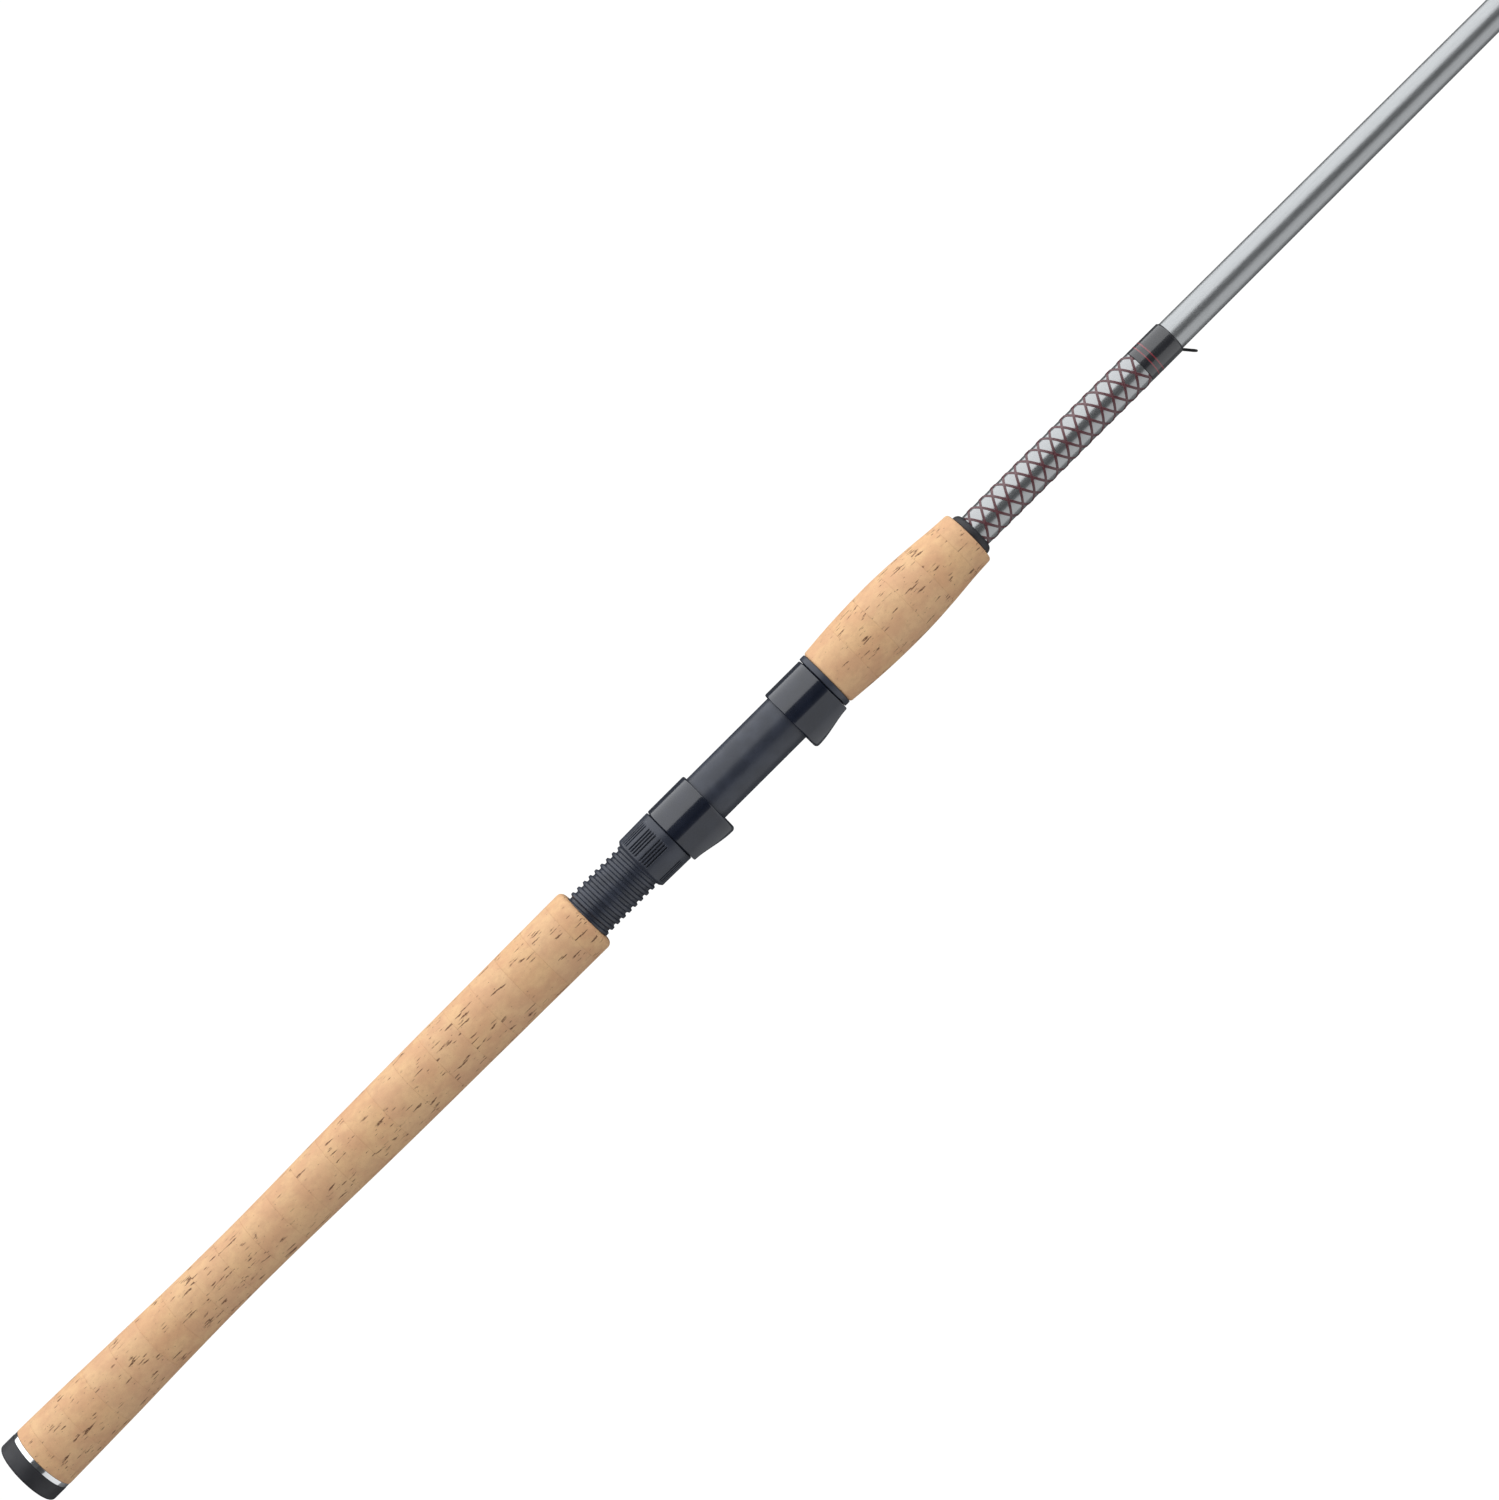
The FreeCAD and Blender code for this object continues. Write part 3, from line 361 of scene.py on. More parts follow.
def metal_material(name, color, roughness, scale, streaks=(1, 1, 1)):
    """Metal with fine brushing or flake, and slightly uneven polish."""
    material, tree, shader = new_material(name, color, roughness, metallic=1.0)
    where = position(tree)
    fine = noise_value(tree, stretched(tree, where, streaks), scale, 3.0, 0.6)
    tree.links.new(smooth_step(tree, fine, 0.3, 0.7, roughness * 0.8, roughness * 1.25),
                   shader.inputs["Roughness"])
    darker = tuple(c * 0.9 for c in color)
    tree.links.new(mix_color(tree, fine, darker, color), shader.inputs["Base Color"])
    bump(tree, shader, fine, 0.1, 0.02)
    return material


def blank_material():
    """Satin metallic lacquer over a fibre tube, with faint lengthwise and flake detail."""
    material, tree, shader = new_material("blank_lacquer", (0.46, 0.48, 0.50), 0.32,
                                          metallic=0.85, coat=0.25, coat_roughness=0.25)
    where = position(tree)
    flake = noise_value(tree, where, 14.0, 2.0, 0.6)
    drawn = noise_value(tree, stretched(tree, where, (0.05, 1, 1)), 2.5, 3.0)
    color = mix_color(tree, smooth_step(tree, flake, 0.35, 0.7),
                      (0.36, 0.37, 0.375), (0.43, 0.44, 0.445))
    color = mix_color(tree, smooth_step(tree, drawn, 0.4, 0.8, 0.0, 0.25), color,
                      (0.31, 0.32, 0.33))
    tree.links.new(color, shader.inputs["Base Color"])
    tree.links.new(smooth_step(tree, drawn, 0.3, 0.7, 0.30, 0.38), shader.inputs["Roughness"])
    bump(tree, shader, flake, 0.04, 0.01)
    return material


def thread_material(name, color, shade_and_patch_color, pitch):
    """Winding thread under a clear finish: fine turns, with painted shade in the grooves between
    turns and darker patches at random.
    """
    material, tree, shader = new_material(name, color, 0.35, coat=1.0, coat_roughness=0.04)
    where = position(tree)
    along = node(tree, "ShaderNodeSeparateXYZ", {0: where}).outputs[0]
    turn = math_node(tree, "SINE", math_node(tree, "MULTIPLY", along, 2 * math.pi / pitch))
    strand = smooth_step(tree, turn, -1.0, 1.0)
    patch = noise_value(tree, where, 0.7, 3.0)
    # Painted shade: the colour goes dark between thread turns along a sine; the noise patches
    # below darken it at random as well.
    color_out = mix_color(tree, strand, shade_and_patch_color, color)
    color_out = mix_color(tree, smooth_step(tree, patch, 0.4, 0.8, 0.0, 0.35), color_out,
                          shade_and_patch_color)
    tree.links.new(color_out, shader.inputs["Base Color"])
    bump(tree, shader, strand, 0.2, 0.03)
    return material


def ring_pitch(first, second):
    """Millimetres from one cork joint to the next."""
    return (span(second)[0] - span(first)[0]) / MM


MATERIALS = {
    "rear_cork": cork_material("rear_cork", span("rear_cork_ring_02")[0] / MM,
                               ring_pitch("rear_cork_ring_02", "rear_cork_ring_03")),
    "fore_cork": cork_material("fore_cork", span("fore_cork_ring_01")[0] / MM,
                               ring_pitch("fore_cork_ring_01", "fore_cork_ring_02")),
    "rubber": moulded_material("black_rubber", (0.018, 0.018, 0.022), 0.55, 0.0, 6.0, 0.05),
    "trim": metal_material("bright_trim", (0.86, 0.87, 0.88), 0.10, 6.0, (8, 1, 1)),
    "seat": moulded_material("seat_satin", (0.030, 0.035, 0.051), 0.34, 0.0, 9.0, 0.01),
    "hood": moulded_material("hood_gloss", (0.006, 0.009, 0.020), 0.20, 0.75, 5.0, 0.002),
    "arbor": moulded_material("arbor_foam", (0.5, 0.45, 0.35), 0.8, 0.0, 2.0, 0.1),
    "blank": blank_material(),
    "maroon": thread_material("maroon_thread", (0.15, 0.024, 0.036), (0.045, 0.009, 0.013), 0.3),
    "dark_wrap": thread_material("dark_thread", (0.022, 0.023, 0.028), (0.012, 0.012, 0.015),
                                 0.24),
    "pinstripe": thread_material("red_thread", (0.30, 0.04, 0.05), (0.12, 0.02, 0.03), 0.24),
    "wire": metal_material("black_wire", (0.03, 0.03, 0.032), 0.35, 4.0),
    "guide": metal_material("guide_steel", (0.30, 0.31, 0.33), 0.25, 5.0),
    "ceramic": moulded_material("ring_ceramic", (0.02, 0.02, 0.024), 0.12, 1.0, 5.0, 0.002),
}


def clear_wrap_material():
    """The grey tube as it looks through a thick clear gloss finish."""
    material, tree, shader = new_material("wrap_clear", (0.40, 0.42, 0.44), 0.26, metallic=0.85,
                                          coat=1.0, coat_roughness=0.03)
    where = position(tree)
    flake = noise_value(tree, where, 14.0, 2.0, 0.6)
    tree.links.new(mix_color(tree, smooth_step(tree, flake, 0.35, 0.7), (0.31, 0.32, 0.325),
                             (0.40, 0.41, 0.415)), shader.inputs["Base Color"])
    bump(tree, shader, noise_value(tree, where, 0.35, 2.0), 0.2, 0.10)
    return material


MATERIALS["clear_wrap"] = clear_wrap_material()


# ---------------------------------------------------------------- butt end and grips

POLE = 0.01 * MM        # a cap closes to this radius at the rod's axis
CAP_EDGE = 1.0 * MM
CAP_LIP = 0.25 * MM
TRIM_EDGE = 0.22 * MM
TRIM_LINE = 0.06 * MM    # dark line between the cap and the trim ring
TRIM_STEP = 0.10 * MM    # and between the trim ring and the cork


def butt_end():
    """Rubber cap and bright trim ring."""
    cap_end = span("butt_trim_ring")[0]
    trim_end = span("butt_trim_ring")[1]
    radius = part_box("butt_cap")[1][1]
    inner = 6 * MM
    cap = rounded_outline([
        (0, POLE, 0),
        (0, radius, CAP_EDGE),
        (cap_end, radius, CAP_LIP),
        (cap_end, inner, 0),
        (span("butt_cap")[1], inner - MM, 0),
        (span("butt_cap")[1], POLE, 0),
    ], 8)
    turned("butt_cap_rubber", cap, MATERIALS["rubber"], "rod_butt",
           ("butt_cap",))
    trim_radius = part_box("butt_trim_ring")[1][1]
    trim = rounded_outline([
        (cap_end + TRIM_LINE, inner + 2 * MM, 0),
        (cap_end + TRIM_LINE, trim_radius, TRIM_EDGE),
        (trim_end - TRIM_STEP, trim_radius, TRIM_EDGE),
        (trim_end - TRIM_STEP, inner + 2 * MM, 0),
    ])
    turned("trim_ring_polished", trim, MATERIALS["trim"], "rod_butt",
           ("butt_trim_ring",))


CORK_SKIN = 3 * MM        # only the outer skin swells, not the bore
CORK_SWELL = 0.05 * MM
SWELL_ALONG = 55          # noise cells to a metre of grip
SWELL_AROUND = 2.2
REAR_EDGE = 2.2 * MM
FORE_EDGE = 1.1 * MM


def ring_count(prefix):
    """How many cork rings the CAD grip has."""
    return sum(name.startswith(prefix) for name in frame["nodes"])


def cork_grip(prefix, material, start_edge, end_edge):
    """Separate cork rings, following the outline of the CAD grip, with pores in their skin."""
    count = ring_count(prefix)
    names = [f"{prefix}_{i:02d}" for i in range(1, count + 1)]
    joints = [span(n)[0] for n in names] + [span(names[-1])[1]]
    edge = {0: start_edge, count: end_edge}
    radii = []
    for i, x in enumerate(joints):
        ring = names[min(i, count - 1)]
        inset = edge.get(i, 0.0)
        radii.append(min(rim_radius(ring, x) + (inset if inset > JOINT_EDGE else 0.0),
                         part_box(ring)[1][1]))
    outer = smooth_curve(joints, radii)

    def skin(x, angle, r):
        if r < outer(x) - CORK_SKIN:
            return r
        spot = Vector((x * SWELL_ALONG, math.cos(angle) * SWELL_AROUND,
                       math.sin(angle) * SWELL_AROUND))
        return r + noise.noise(spot) * CORK_SWELL - CORK_SWELL

    for i, name in enumerate(names):
        low, high = joints[i], joints[i + 1]
        bore = rim_radius(name, low, outer=False)
        first = start_edge if i == 0 else JOINT_EDGE
        last = end_edge if i == count - 1 else JOINT_EDGE
        outline = ring_outline(outer, low, high, first, last)
        outline += [(high, bore), (low, bore)]
        turned(f"{name}_cork", outline, material, "rod_butt", (name,), around=160,
               relief=skin)


def ring_outline(outer, low, high, start_edge, end_edge, steps=6, stations=16):
    """A ring's outer line with its two rounded ends drawn as arcs."""
    first, last = [], []
    for s in range(steps + 1):
        angle = math.pi / 2 * s / steps
        drop, back = 1 - math.cos(angle), 1 - math.sin(angle)
        first.insert(0, (low + start_edge * back, start_edge * drop))
        last.append((high - end_edge * back, end_edge * drop))
    a, b = low + start_edge, high - end_edge
    inside = [(a + (b - a) * s / stations, 0) for s in range(1, stations)]
    return [(x, outer(x) - drop) for x, drop in first + inside + last]


# ---------------------------------------------------------------- reel seat

RATIO = frame["record"]["behaviour"]["couplings"][0]["ratio"]
PITCH = 2 * math.pi / RATIO
THREAD_FIRST = span("reel_seat_body")[0] + 1.84 * MM    # a crest on the +Y side
THREAD_END = span("reel_seat_body")[0] + 62.0 * MM
BARREL = 9.7 * MM
ROOT = 8.75 * MM
KEYWAY_HALF = 1.5 * MM
CREST_HALF = 0.40 * MM    # half the flat top of a thread
FLANK = 0.62 * MM         # from its top down to the root
RUNOUT_START = 1.5 * MM   # the last turn rises to the barrel over this stretch
RUNOUT = 1.2 * MM
COLLAR_START = span("fixed_hood")[1] + 0.3 * MM


def ease(t):
    """Smooth step from 0 to 1."""
    t = min(max(t, 0.0), 1.0)
    return t * t * (3 - 2 * t)


def thread_height(x, angle):
    """How much of the thread's height stands at a place, from 0 to 1."""
    lead = (x - THREAD_FIRST - PITCH * angle / (2 * math.pi)) / PITCH
    away = abs(lead - round(lead)) * PITCH
    return 1 - ease((away - CREST_HALF) / FLANK)


def seat_skin(x, angle, r):
    """Thread, keyway and barrel of the reel seat as one height over the tube."""
    if r < ROOT - 0.5 * MM or x > COLLAR_START:
        return r
    across = math.cos(angle) * r
    below = math.sin(angle) < 0
    if below and abs(across) < KEYWAY_HALF:
        return ROOT
    if x > THREAD_END:
        return r
    fade = ease((x - THREAD_END + RUNOUT_START) / RUNOUT)
    height = max(thread_height(x, angle), fade)
    return ROOT + (BARREL - ROOT) * height


def seat_body():
    """Threaded tube, plain barrel and collar."""
    low, high = span("reel_seat_body")
    bore = 7.5 * MM
    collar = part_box("reel_seat_body")[1][1]
    line = dense([(low, BARREL), (THREAD_END, BARREL)], 0.17 * MM)
    line += dense([(THREAD_END, BARREL), (COLLAR_START, BARREL)], 4 * MM)[1:]
    flange = rounded_outline([
        (COLLAR_START, BARREL, 0),
        (COLLAR_START, collar, 0.35 * MM),
        (high, collar, 0.35 * MM),
        (high, bore, 0),
        (low, bore, 0),
    ])
    turned("reel_seat_moulding", line + flange[1:], MATERIALS["seat"], "rod_butt",
           ("reel_seat_body",), around=192, relief=seat_skin)


# Degrees from the middle of the side that faces -Y to each group of four grooves.
NUT_GROUPS = [-4, 26, 56, 116, 146, 176, 236, 266, 296]
NUT_GROOVE_STEP = 6.1        # degrees between two grooves of a group
NUT_GROOVE_HALF = 0.9        # degrees from a groove's middle to where it fades out
NUT_GROOVE_DEPTH = 0.75 * MM
NUT_GROOVE_END = 0.7 * MM
NUT_GROOVES_FROM = 1.3 * MM
NUT_GROOVES_TO = 12.0 * MM
NUT_WALL_FROM = 10.3 * MM    # only the outer wall lies beyond this radius


def nut_skin(x, angle, r):
    """Sinks the closed grip grooves into the nut's outer wall."""
    low, high = span("lock_nut")[0] + NUT_GROOVES_FROM, span("lock_nut")[0] + NUT_GROOVES_TO
    if r < NUT_WALL_FROM:
        return r
    ends = ease((x - low) / NUT_GROOVE_END) * ease((high - x) / NUT_GROOVE_END)
    if ends <= 0:
        return r
    facing = (math.degrees(angle) - 180) % 360
    depth = 0.0
    for group in NUT_GROUPS:
        for line in range(4):
            place = -group - NUT_GROOVE_STEP * (line - 1.5)
            gap = abs((facing - place + 180) % 360 - 180)
            depth = max(depth, 1 - ease((gap - NUT_GROOVE_HALF) / NUT_GROOVE_HALF))
    return r - NUT_GROOVE_DEPTH * depth * ends


def lock_nut():
    """Knurled nut with its chamfered butt end and plain front land."""
    low, high = span("lock_nut")
    face = span("moving_hood")[0] - 0.3 * MM
    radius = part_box("lock_nut")[1][1]
    bore = 9.82 * MM
    neck = 10.15 * MM
    outline = rounded_outline([
        (low, bore, 0),
        (low, radius - 1.35 * MM, 0.25 * MM),
        (low + 0.9 * MM, radius - 0.2 * MM, 0.8 * MM),
        (face, radius, 0.35 * MM),
        (face, neck, 0),
        (high, neck, 0),
        (high, bore, 0),
    ])
    turned("lock_nut_moulding", dense(outline, 0.45 * MM), MATERIALS["seat"], "nut",
           ("lock_nut",), around=720, relief=nut_skin)


LIP_RADIUS = 9.0 * MM
LIP_DROP = 6.8 * MM
HOOD_WALL = 1.5 * MM
HEEL_RISE = 2.25 * MM     # the lip is this much shallower at its heel than at its mouth
RAMP_SHARE = 0.92         # the ramp ends here, as a share of the hood's length
RAMP_BEND = 0.9
LIP_BLEND = 0.5 * MM      # rounding where the ramp meets the lip's sides
HEEL_EDGE = 0.55 * MM
MOUTH_EDGE = 0.65         # millimetres, and twice that under the lip
HOOD_ROWS = 44


def hull_radius(angle, big):
    """Distance to the hood's outline, the hull of its round and its lip's arch.

    The angle is measured from straight below the hood's axis."""
    lean = math.asin((big - LIP_RADIUS) / LIP_DROP)
    side = abs(angle)
    if side > math.pi / 2 - lean:
        return big
    low_angle = math.atan2(LIP_RADIUS * math.cos(lean), LIP_DROP + LIP_RADIUS * math.sin(lean))
    if side > low_angle:
        return big / math.cos(side - (math.pi / 2 - lean))
    return circle_reach(side, LIP_DROP, LIP_RADIUS)


def circle_reach(angle, drop, radius):
    """Distance from the axis to a circle centred drop below it, in a direction."""
    inside = radius * radius - (drop * math.sin(angle)) ** 2
    return drop * math.cos(angle) + math.sqrt(max(inside, 0.0))


def soft_min(a, b, blend):
    """The smaller of two lengths, with a rounded change-over."""
    share = min(max(0.5 + 0.5 * (b - a) / blend, 0.0), 1.0)
    return b + (a - b) * share - blend * share * (1 - share)


def hood_piece(name, node_name, body, mouth_ahead):
    """A hood: round sleeve, ramped lip with a softened edge, and a slanted foot pocket."""
    low, high = span(node_name)
    box_low, box_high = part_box(node_name)
    big, lip = box_high[2], -box_low[2]
    heel, mouth = (low, high) if mouth_ahead else (high, low)
    heel_depth = lip - HEEL_RISE
    bore = BARREL + 0.1 * MM
    length = high - low
    pocket = LIP_RADIUS - HOOD_WALL
    pocket_length = 14 * MM

    def outer(angle, x):
        share = abs(x - heel) / length
        depth = heel_depth + (lip - heel_depth) * ease(share / RAMP_SHARE) ** RAMP_BEND
        hull = hull_radius(angle, big)
        under = math.cos(angle)
        reach = hull if under <= 0.2 else soft_min(hull, depth / under, LIP_BLEND)
        weight = ease((under - 0.3) / 0.5)
        mouth_edge = (MOUTH_EDGE + MOUTH_EDGE * weight) * MM
        for end, size in ((heel, HEEL_EDGE), (mouth, mouth_edge)):
            inside = size - abs(x - end)
            if inside > 0:
                reach -= size - math.sqrt(max(size * size - inside * inside, 0.0))
        return reach

    def inner(angle, x):
        depth = abs(mouth - x)
        drop = lip - HOOD_WALL - pocket - depth * (lip - HOOD_WALL - BARREL) / pocket_length
        if math.cos(angle) <= 0 or drop <= 0 or depth > pocket_length:
            return bore
        return max(bore, circle_reach(angle, drop, pocket))

    around = 192
    shares = [0.5 - 0.5 * math.cos(math.pi * s / HOOD_ROWS) for s in range(HOOD_ROWS + 1)]
    rows = [(heel + (mouth - heel) * s, outer) for s in shares]
    rows += [(mouth + (heel - mouth) * s, inner) for s in shares]
    vertices = []
    for x, reach in rows:
        for j in range(around):
            angle = 2 * math.pi * j / around
            r = reach(math.remainder(angle, 2 * math.pi), x)
            vertices.append((x, r * math.sin(angle), -r * math.cos(angle)))
    faces = ring_faces(len(rows), around, True)
    if not mouth_ahead:
        faces = [f[::-1] for f in faces]
    new_object(name, vertices, faces, MATERIALS["hood"], body, (node_name,))


def reel_seat():
    """All of the reel seat."""
    seat_body()
    lock_nut()
    hood_piece("moving_hood_shell", "moving_hood", "hood_slider", True)
    hood_piece("fixed_hood_shell", "fixed_hood", "rod_butt", False)


# ---------------------------------------------------------------- tubes and wraps

def tube_radius(node_name):
    """Outer radius of a tapered tube as a straight line between its two ends."""
    low, high = span(node_name)
    a, b = rim_radius(node_name, low), rim_radius(node_name, high)
    return lambda x: a + (b - a) * (x - low) / (high - low)


BUTT_TUBE = tube_radius("butt_blank")
TIP_TUBE = tube_radius("tip_blank")
TUBE_STEP = 60 * MM        # longest stretch of tube between two rows of vertices
SOCKET_DEPTH = 74 * MM
SOCKET_TAPER = 6 * MM
TIP_WALL = 1.4 * MM
TIP_BORE_END = 0.45 * MM
FERRULE_GAP = 0.03 * MM


def tapered_tube(node_name, radius_at, wall, end_edge):
    """Outline of a hollow tapered tube."""
    low, high = span(node_name)
    corners = [(low, radius_at(low), end_edge), (high, radius_at(high), end_edge),
               (high, max(radius_at(high) - wall, 0.3 * MM), 0),
               (low, radius_at(low) - wall, 0)]
    return dense(rounded_outline(corners), TUBE_STEP)


def tubes():
    """Butt section and tip section of the blank."""
    turned("butt_tube", tapered_tube("butt_blank", BUTT_TUBE, 1.1 * MM, 0.1 * MM),
           MATERIALS["blank"], "rod_butt", ("butt_blank",), around=96)
    low, high = span("tip_blank")
    socket = low + SOCKET_DEPTH
    corners = [
        (low, TIP_TUBE(low), 0.25 * MM),
        (high, TIP_TUBE(high), 0.1 * MM),
        (high, TIP_BORE_END, 0),
        (socket + SOCKET_TAPER, TIP_TUBE(socket) - TIP_WALL, 0),
        (socket, BUTT_TUBE(socket) + FERRULE_GAP, 0),
        (low, BUTT_TUBE(low) + FERRULE_GAP, 0),
    ]
    turned("tip_tube", dense(rounded_outline(corners), TUBE_STEP), MATERIALS["blank"],
           "rod_tip", ("tip_blank",), around=72)


CHECK_BORE = 6.3 * MM
CHECK_LAND = 0.5 * MM     # straight wall behind the dome
CHECK_DOME = 2.1 * MM     # how far the dome falls toward the tube
DOME_STEPS = 8


def winding_check():
    """Domed rubber ring in front of the fore grip."""
    low, high = span("winding_check")
    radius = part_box("winding_check")[1][1]
    dome = []
    for s in range(DOME_STEPS + 1):
        angle = math.pi / 2 * s / DOME_STEPS
        dome.append((high - (high - low - CHECK_LAND) * (1 - math.sin(angle)),
                     radius - CHECK_DOME * (1 - math.cos(angle))))
    outline = [(low, CHECK_BORE), (low, radius)] + dome + [(high, CHECK_BORE)]
    turned("winding_check_rubber", outline, MATERIALS["rubber"], "rod_butt",
           ("winding_check",))


DIAMOND_STARTS = 4
DIAMOND_LEAD = 22.92 * MM
CROSSING_X = 475.3 * MM
STRANDS = 3
STRAND_STEP = 0.36 * MM
FRONT = math.pi + math.radians(4.8)    # the crossings face -Y, a little below level


def decorative_wrap():
    """Clear-coated tube and the right-hand and left-hand thread bands over it."""
    low, high = span("wrap_finish")
    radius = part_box("wrap_finish")[1][1]
    base = radius - 0.10 * MM
    inner = BUTT_TUBE(low) + 0.3 * MM
    outline = rounded_outline([(low, inner, 0), (low, base, 0.1 * MM),
                               (high, base, 0.02 * MM), (high, inner, 0)])
    turned("wrap_finish_coat", dense(outline, 3 * MM), MATERIALS["clear_wrap"], "rod_butt",
           ("wrap_finish",), around=128)
    parts = []
    steps = int((high - low) / (0.35 * MM))
    for hand in (1, -1):
        for start in range(DIAMOND_STARTS):
            for strand in range(STRANDS):
                shift = (strand - (STRANDS - 1) / 2) * STRAND_STEP
                parts.append(helix_strand(low, high, hand, start, shift, steps, base))
    bands = joined("diamond_wrap_threads", parts)
    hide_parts("diamond_wrap")


def helix_strand(low, high, hand, start, shift, steps, base):
    """One thread of a band, wound right- or left-handed from a crossing that faces -Y."""
    path = []
    for i in range(steps + 1):
        x = low + (high - low) * i / steps
        turn = (x - CROSSING_X - shift) / DIAMOND_LEAD + start / DIAMOND_STARTS
        angle = FRONT + hand * 2 * math.pi * turn
        r = base + 0.02 * MM
        path.append((x, r * math.cos(angle), r * math.sin(angle)))
    return swept(f"band_{hand}_{start}_{shift:.4f}", path, 0.19 * MM, MATERIALS["maroon"],
                 "rod_butt", sides=6)


def bound_wrap(name, low, high, under, height, material, body, replaced=(), ends=1.4,
               around=96, tail=None):
    """A thread wrap under clear finish: ridged in the middle and tapering at its ends."""
    pitch = 0.24 * MM
    ends = ends * MM
    tail = ends if tail is None else tail * MM
    steps = max(24, int((high - low) / (pitch / 3)))
    line = []
    for i in range(steps + 1):
        x = low + (high - low) * i / steps
        cover = min(ease((x - low) / ends + 0.15), ease((high - x) / tail + 0.15))
        ridge = 0.015 * MM * math.cos(2 * math.pi * x / pitch) * cover
        line.append((x, under(x) + height * cover + ridge))
    outline = line + [(high, under(high) - 0.02 * MM), (low, under(low) - 0.02 * MM)]
    return turned(name, outline, material, body, replaced, around=around)


STRIPE_PLACES = (3.2 * MM, 5.4 * MM)    # from the keeper wrap's rear end
STRIPE_HALF = 0.28 * MM
STRIPE_SINK = 0.2 * MM
KEEPER_WIRE = 0.42 * MM
KEEPER_HALF_GAP = 1.3 * MM
KEEPER_LEAN = math.radians(50)


def keeper_area():
    """Dark wrap with two red pinstripes, and the wire loop that holds the hook."""
    low, high = span("keeper_wrap")
    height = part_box("keeper_wrap")[1][1] - BUTT_TUBE(low)
    bound_wrap("keeper_wrap_thread", low, high, BUTT_TUBE, height - 0.03 * MM,
               MATERIALS["dark_wrap"], "rod_butt", ("keeper_wrap",), ends=0.3,
               around=128, tail=0.9)
    stripes = []
    for place in STRIPE_PLACES:
        x = low + place
        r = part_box("keeper_wrap")[1][1]
        outline = rounded_outline([(x - STRIPE_HALF, r - STRIPE_SINK, 0),
                                   (x - STRIPE_HALF, r, 0.1 * MM),
                                   (x + STRIPE_HALF, r, 0.1 * MM),
                                   (x + STRIPE_HALF, r - STRIPE_SINK, 0)], 3)
        stripes.append(turned(f"stripe_{len(stripes)}", outline, MATERIALS["pinstripe"],
                              "rod_butt", around=128))
    joined("keeper_wrap_pinstripes", stripes)

    box_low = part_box("hook_keeper")[0]
    root = Vector((high - 0.4 * MM, 0, -BUTT_TUBE(high) - 0.1 * MM))
    out = Vector((math.cos(KEEPER_LEAN), 0, -math.sin(KEEPER_LEAN)))
    half = KEEPER_HALF_GAP
    reach = (root.z - box_low[2]) / math.sin(KEEPER_LEAN) - 0.45 * MM - half
    left, right = Vector((0, -half, 0)), Vector((0, half, 0))
    foot = Vector((-5 * MM, 0, 0.25 * MM))
    path = [root + foot + left, root + left, root + out * 0.6 * MM + left]
    path += [root + out * reach * s / 4 + left for s in (1, 2, 3, 4)]
    crown = root + out * reach
    for s in range(1, 12):
        angle = math.pi * s / 12
        path.append(crown - right * math.cos(angle) + out * half * math.sin(angle))
    path += [root + out * reach * s / 4 + right for s in (4, 3, 2, 1)]
    path += [root + out * 0.6 * MM + right, root + right, root + foot + right]
    swept("hook_keeper_wire", path, KEEPER_WIRE, MATERIALS["wire"], "rod_butt",
          ("hook_keeper",), sides=14)


# ---------------------------------------------------------------- guides

HOOP_WALL = 0.9 * MM
HOOP_HALF = 0.85 * MM
HOOP_EDGE = 0.4 * MM
RING_HALF = 1.1 * MM
RING_SEAT_HALF = 0.95 * MM
RING_SHOULDER = 0.45 * MM
RING_WALL = 1.6 * MM
HEEL_SHARE = 0.75        # a foot's heel stands this share of the ring's drop from the ring
WRAP_SET_BACK = 1.5 * MM
WRAP_OVERRUN = 2 * MM
WRAP_HEIGHT = 0.78 * MM
STRUT_RADIUS = 0.68 * MM
STRUT_HALF_GAP = 0.5 * MM
STRUT_SINK = 0.55 * MM
STRUT_STEPS = 16
GRIP_LIFT = math.radians(20)    # struts leave the hoop this far above its middle
FOOT_HALF = 1.15 * MM
FOOT_THICK = 0.60 * MM
FOOT_LEAD = 0.8 * MM


def hoop_piece(centre, outer, body):
    """The rounded metal hoop that grips a guide's ring."""
    low, high = centre[0] - HOOP_HALF, centre[0] + HOOP_HALF
    outline = rounded_outline([
        (low, outer, 0),
        (low, outer + HOOP_WALL, HOOP_EDGE),
        (high, outer + HOOP_WALL, HOOP_EDGE),
        (high, outer, 0),
    ])
    return turned("hoop", outline, MATERIALS["guide"], body, around=64,
                  centre=(0, centre[2]))


def ceramic_ring(ring_node, centre, outer, body):
    """A polished ring with a rounded bore."""
    shoulder = outer - RING_SHOULDER
    bulge = RING_WALL - RING_SHOULDER
    arc = []
    for s in range(12):
        angle = math.pi * s / 11
        arc.append((centre[0] + math.cos(angle) * RING_HALF, shoulder - math.sin(angle) * bulge))
    ring = [(centre[0] + RING_SEAT_HALF, outer)] + arc + [(centre[0] - RING_SEAT_HALF, outer)]
    turned(f"{ring_node}_ceramic", ring[::-1], MATERIALS["ceramic"], body,
           (ring_node,), around=64, centre=(0, centre[2]))


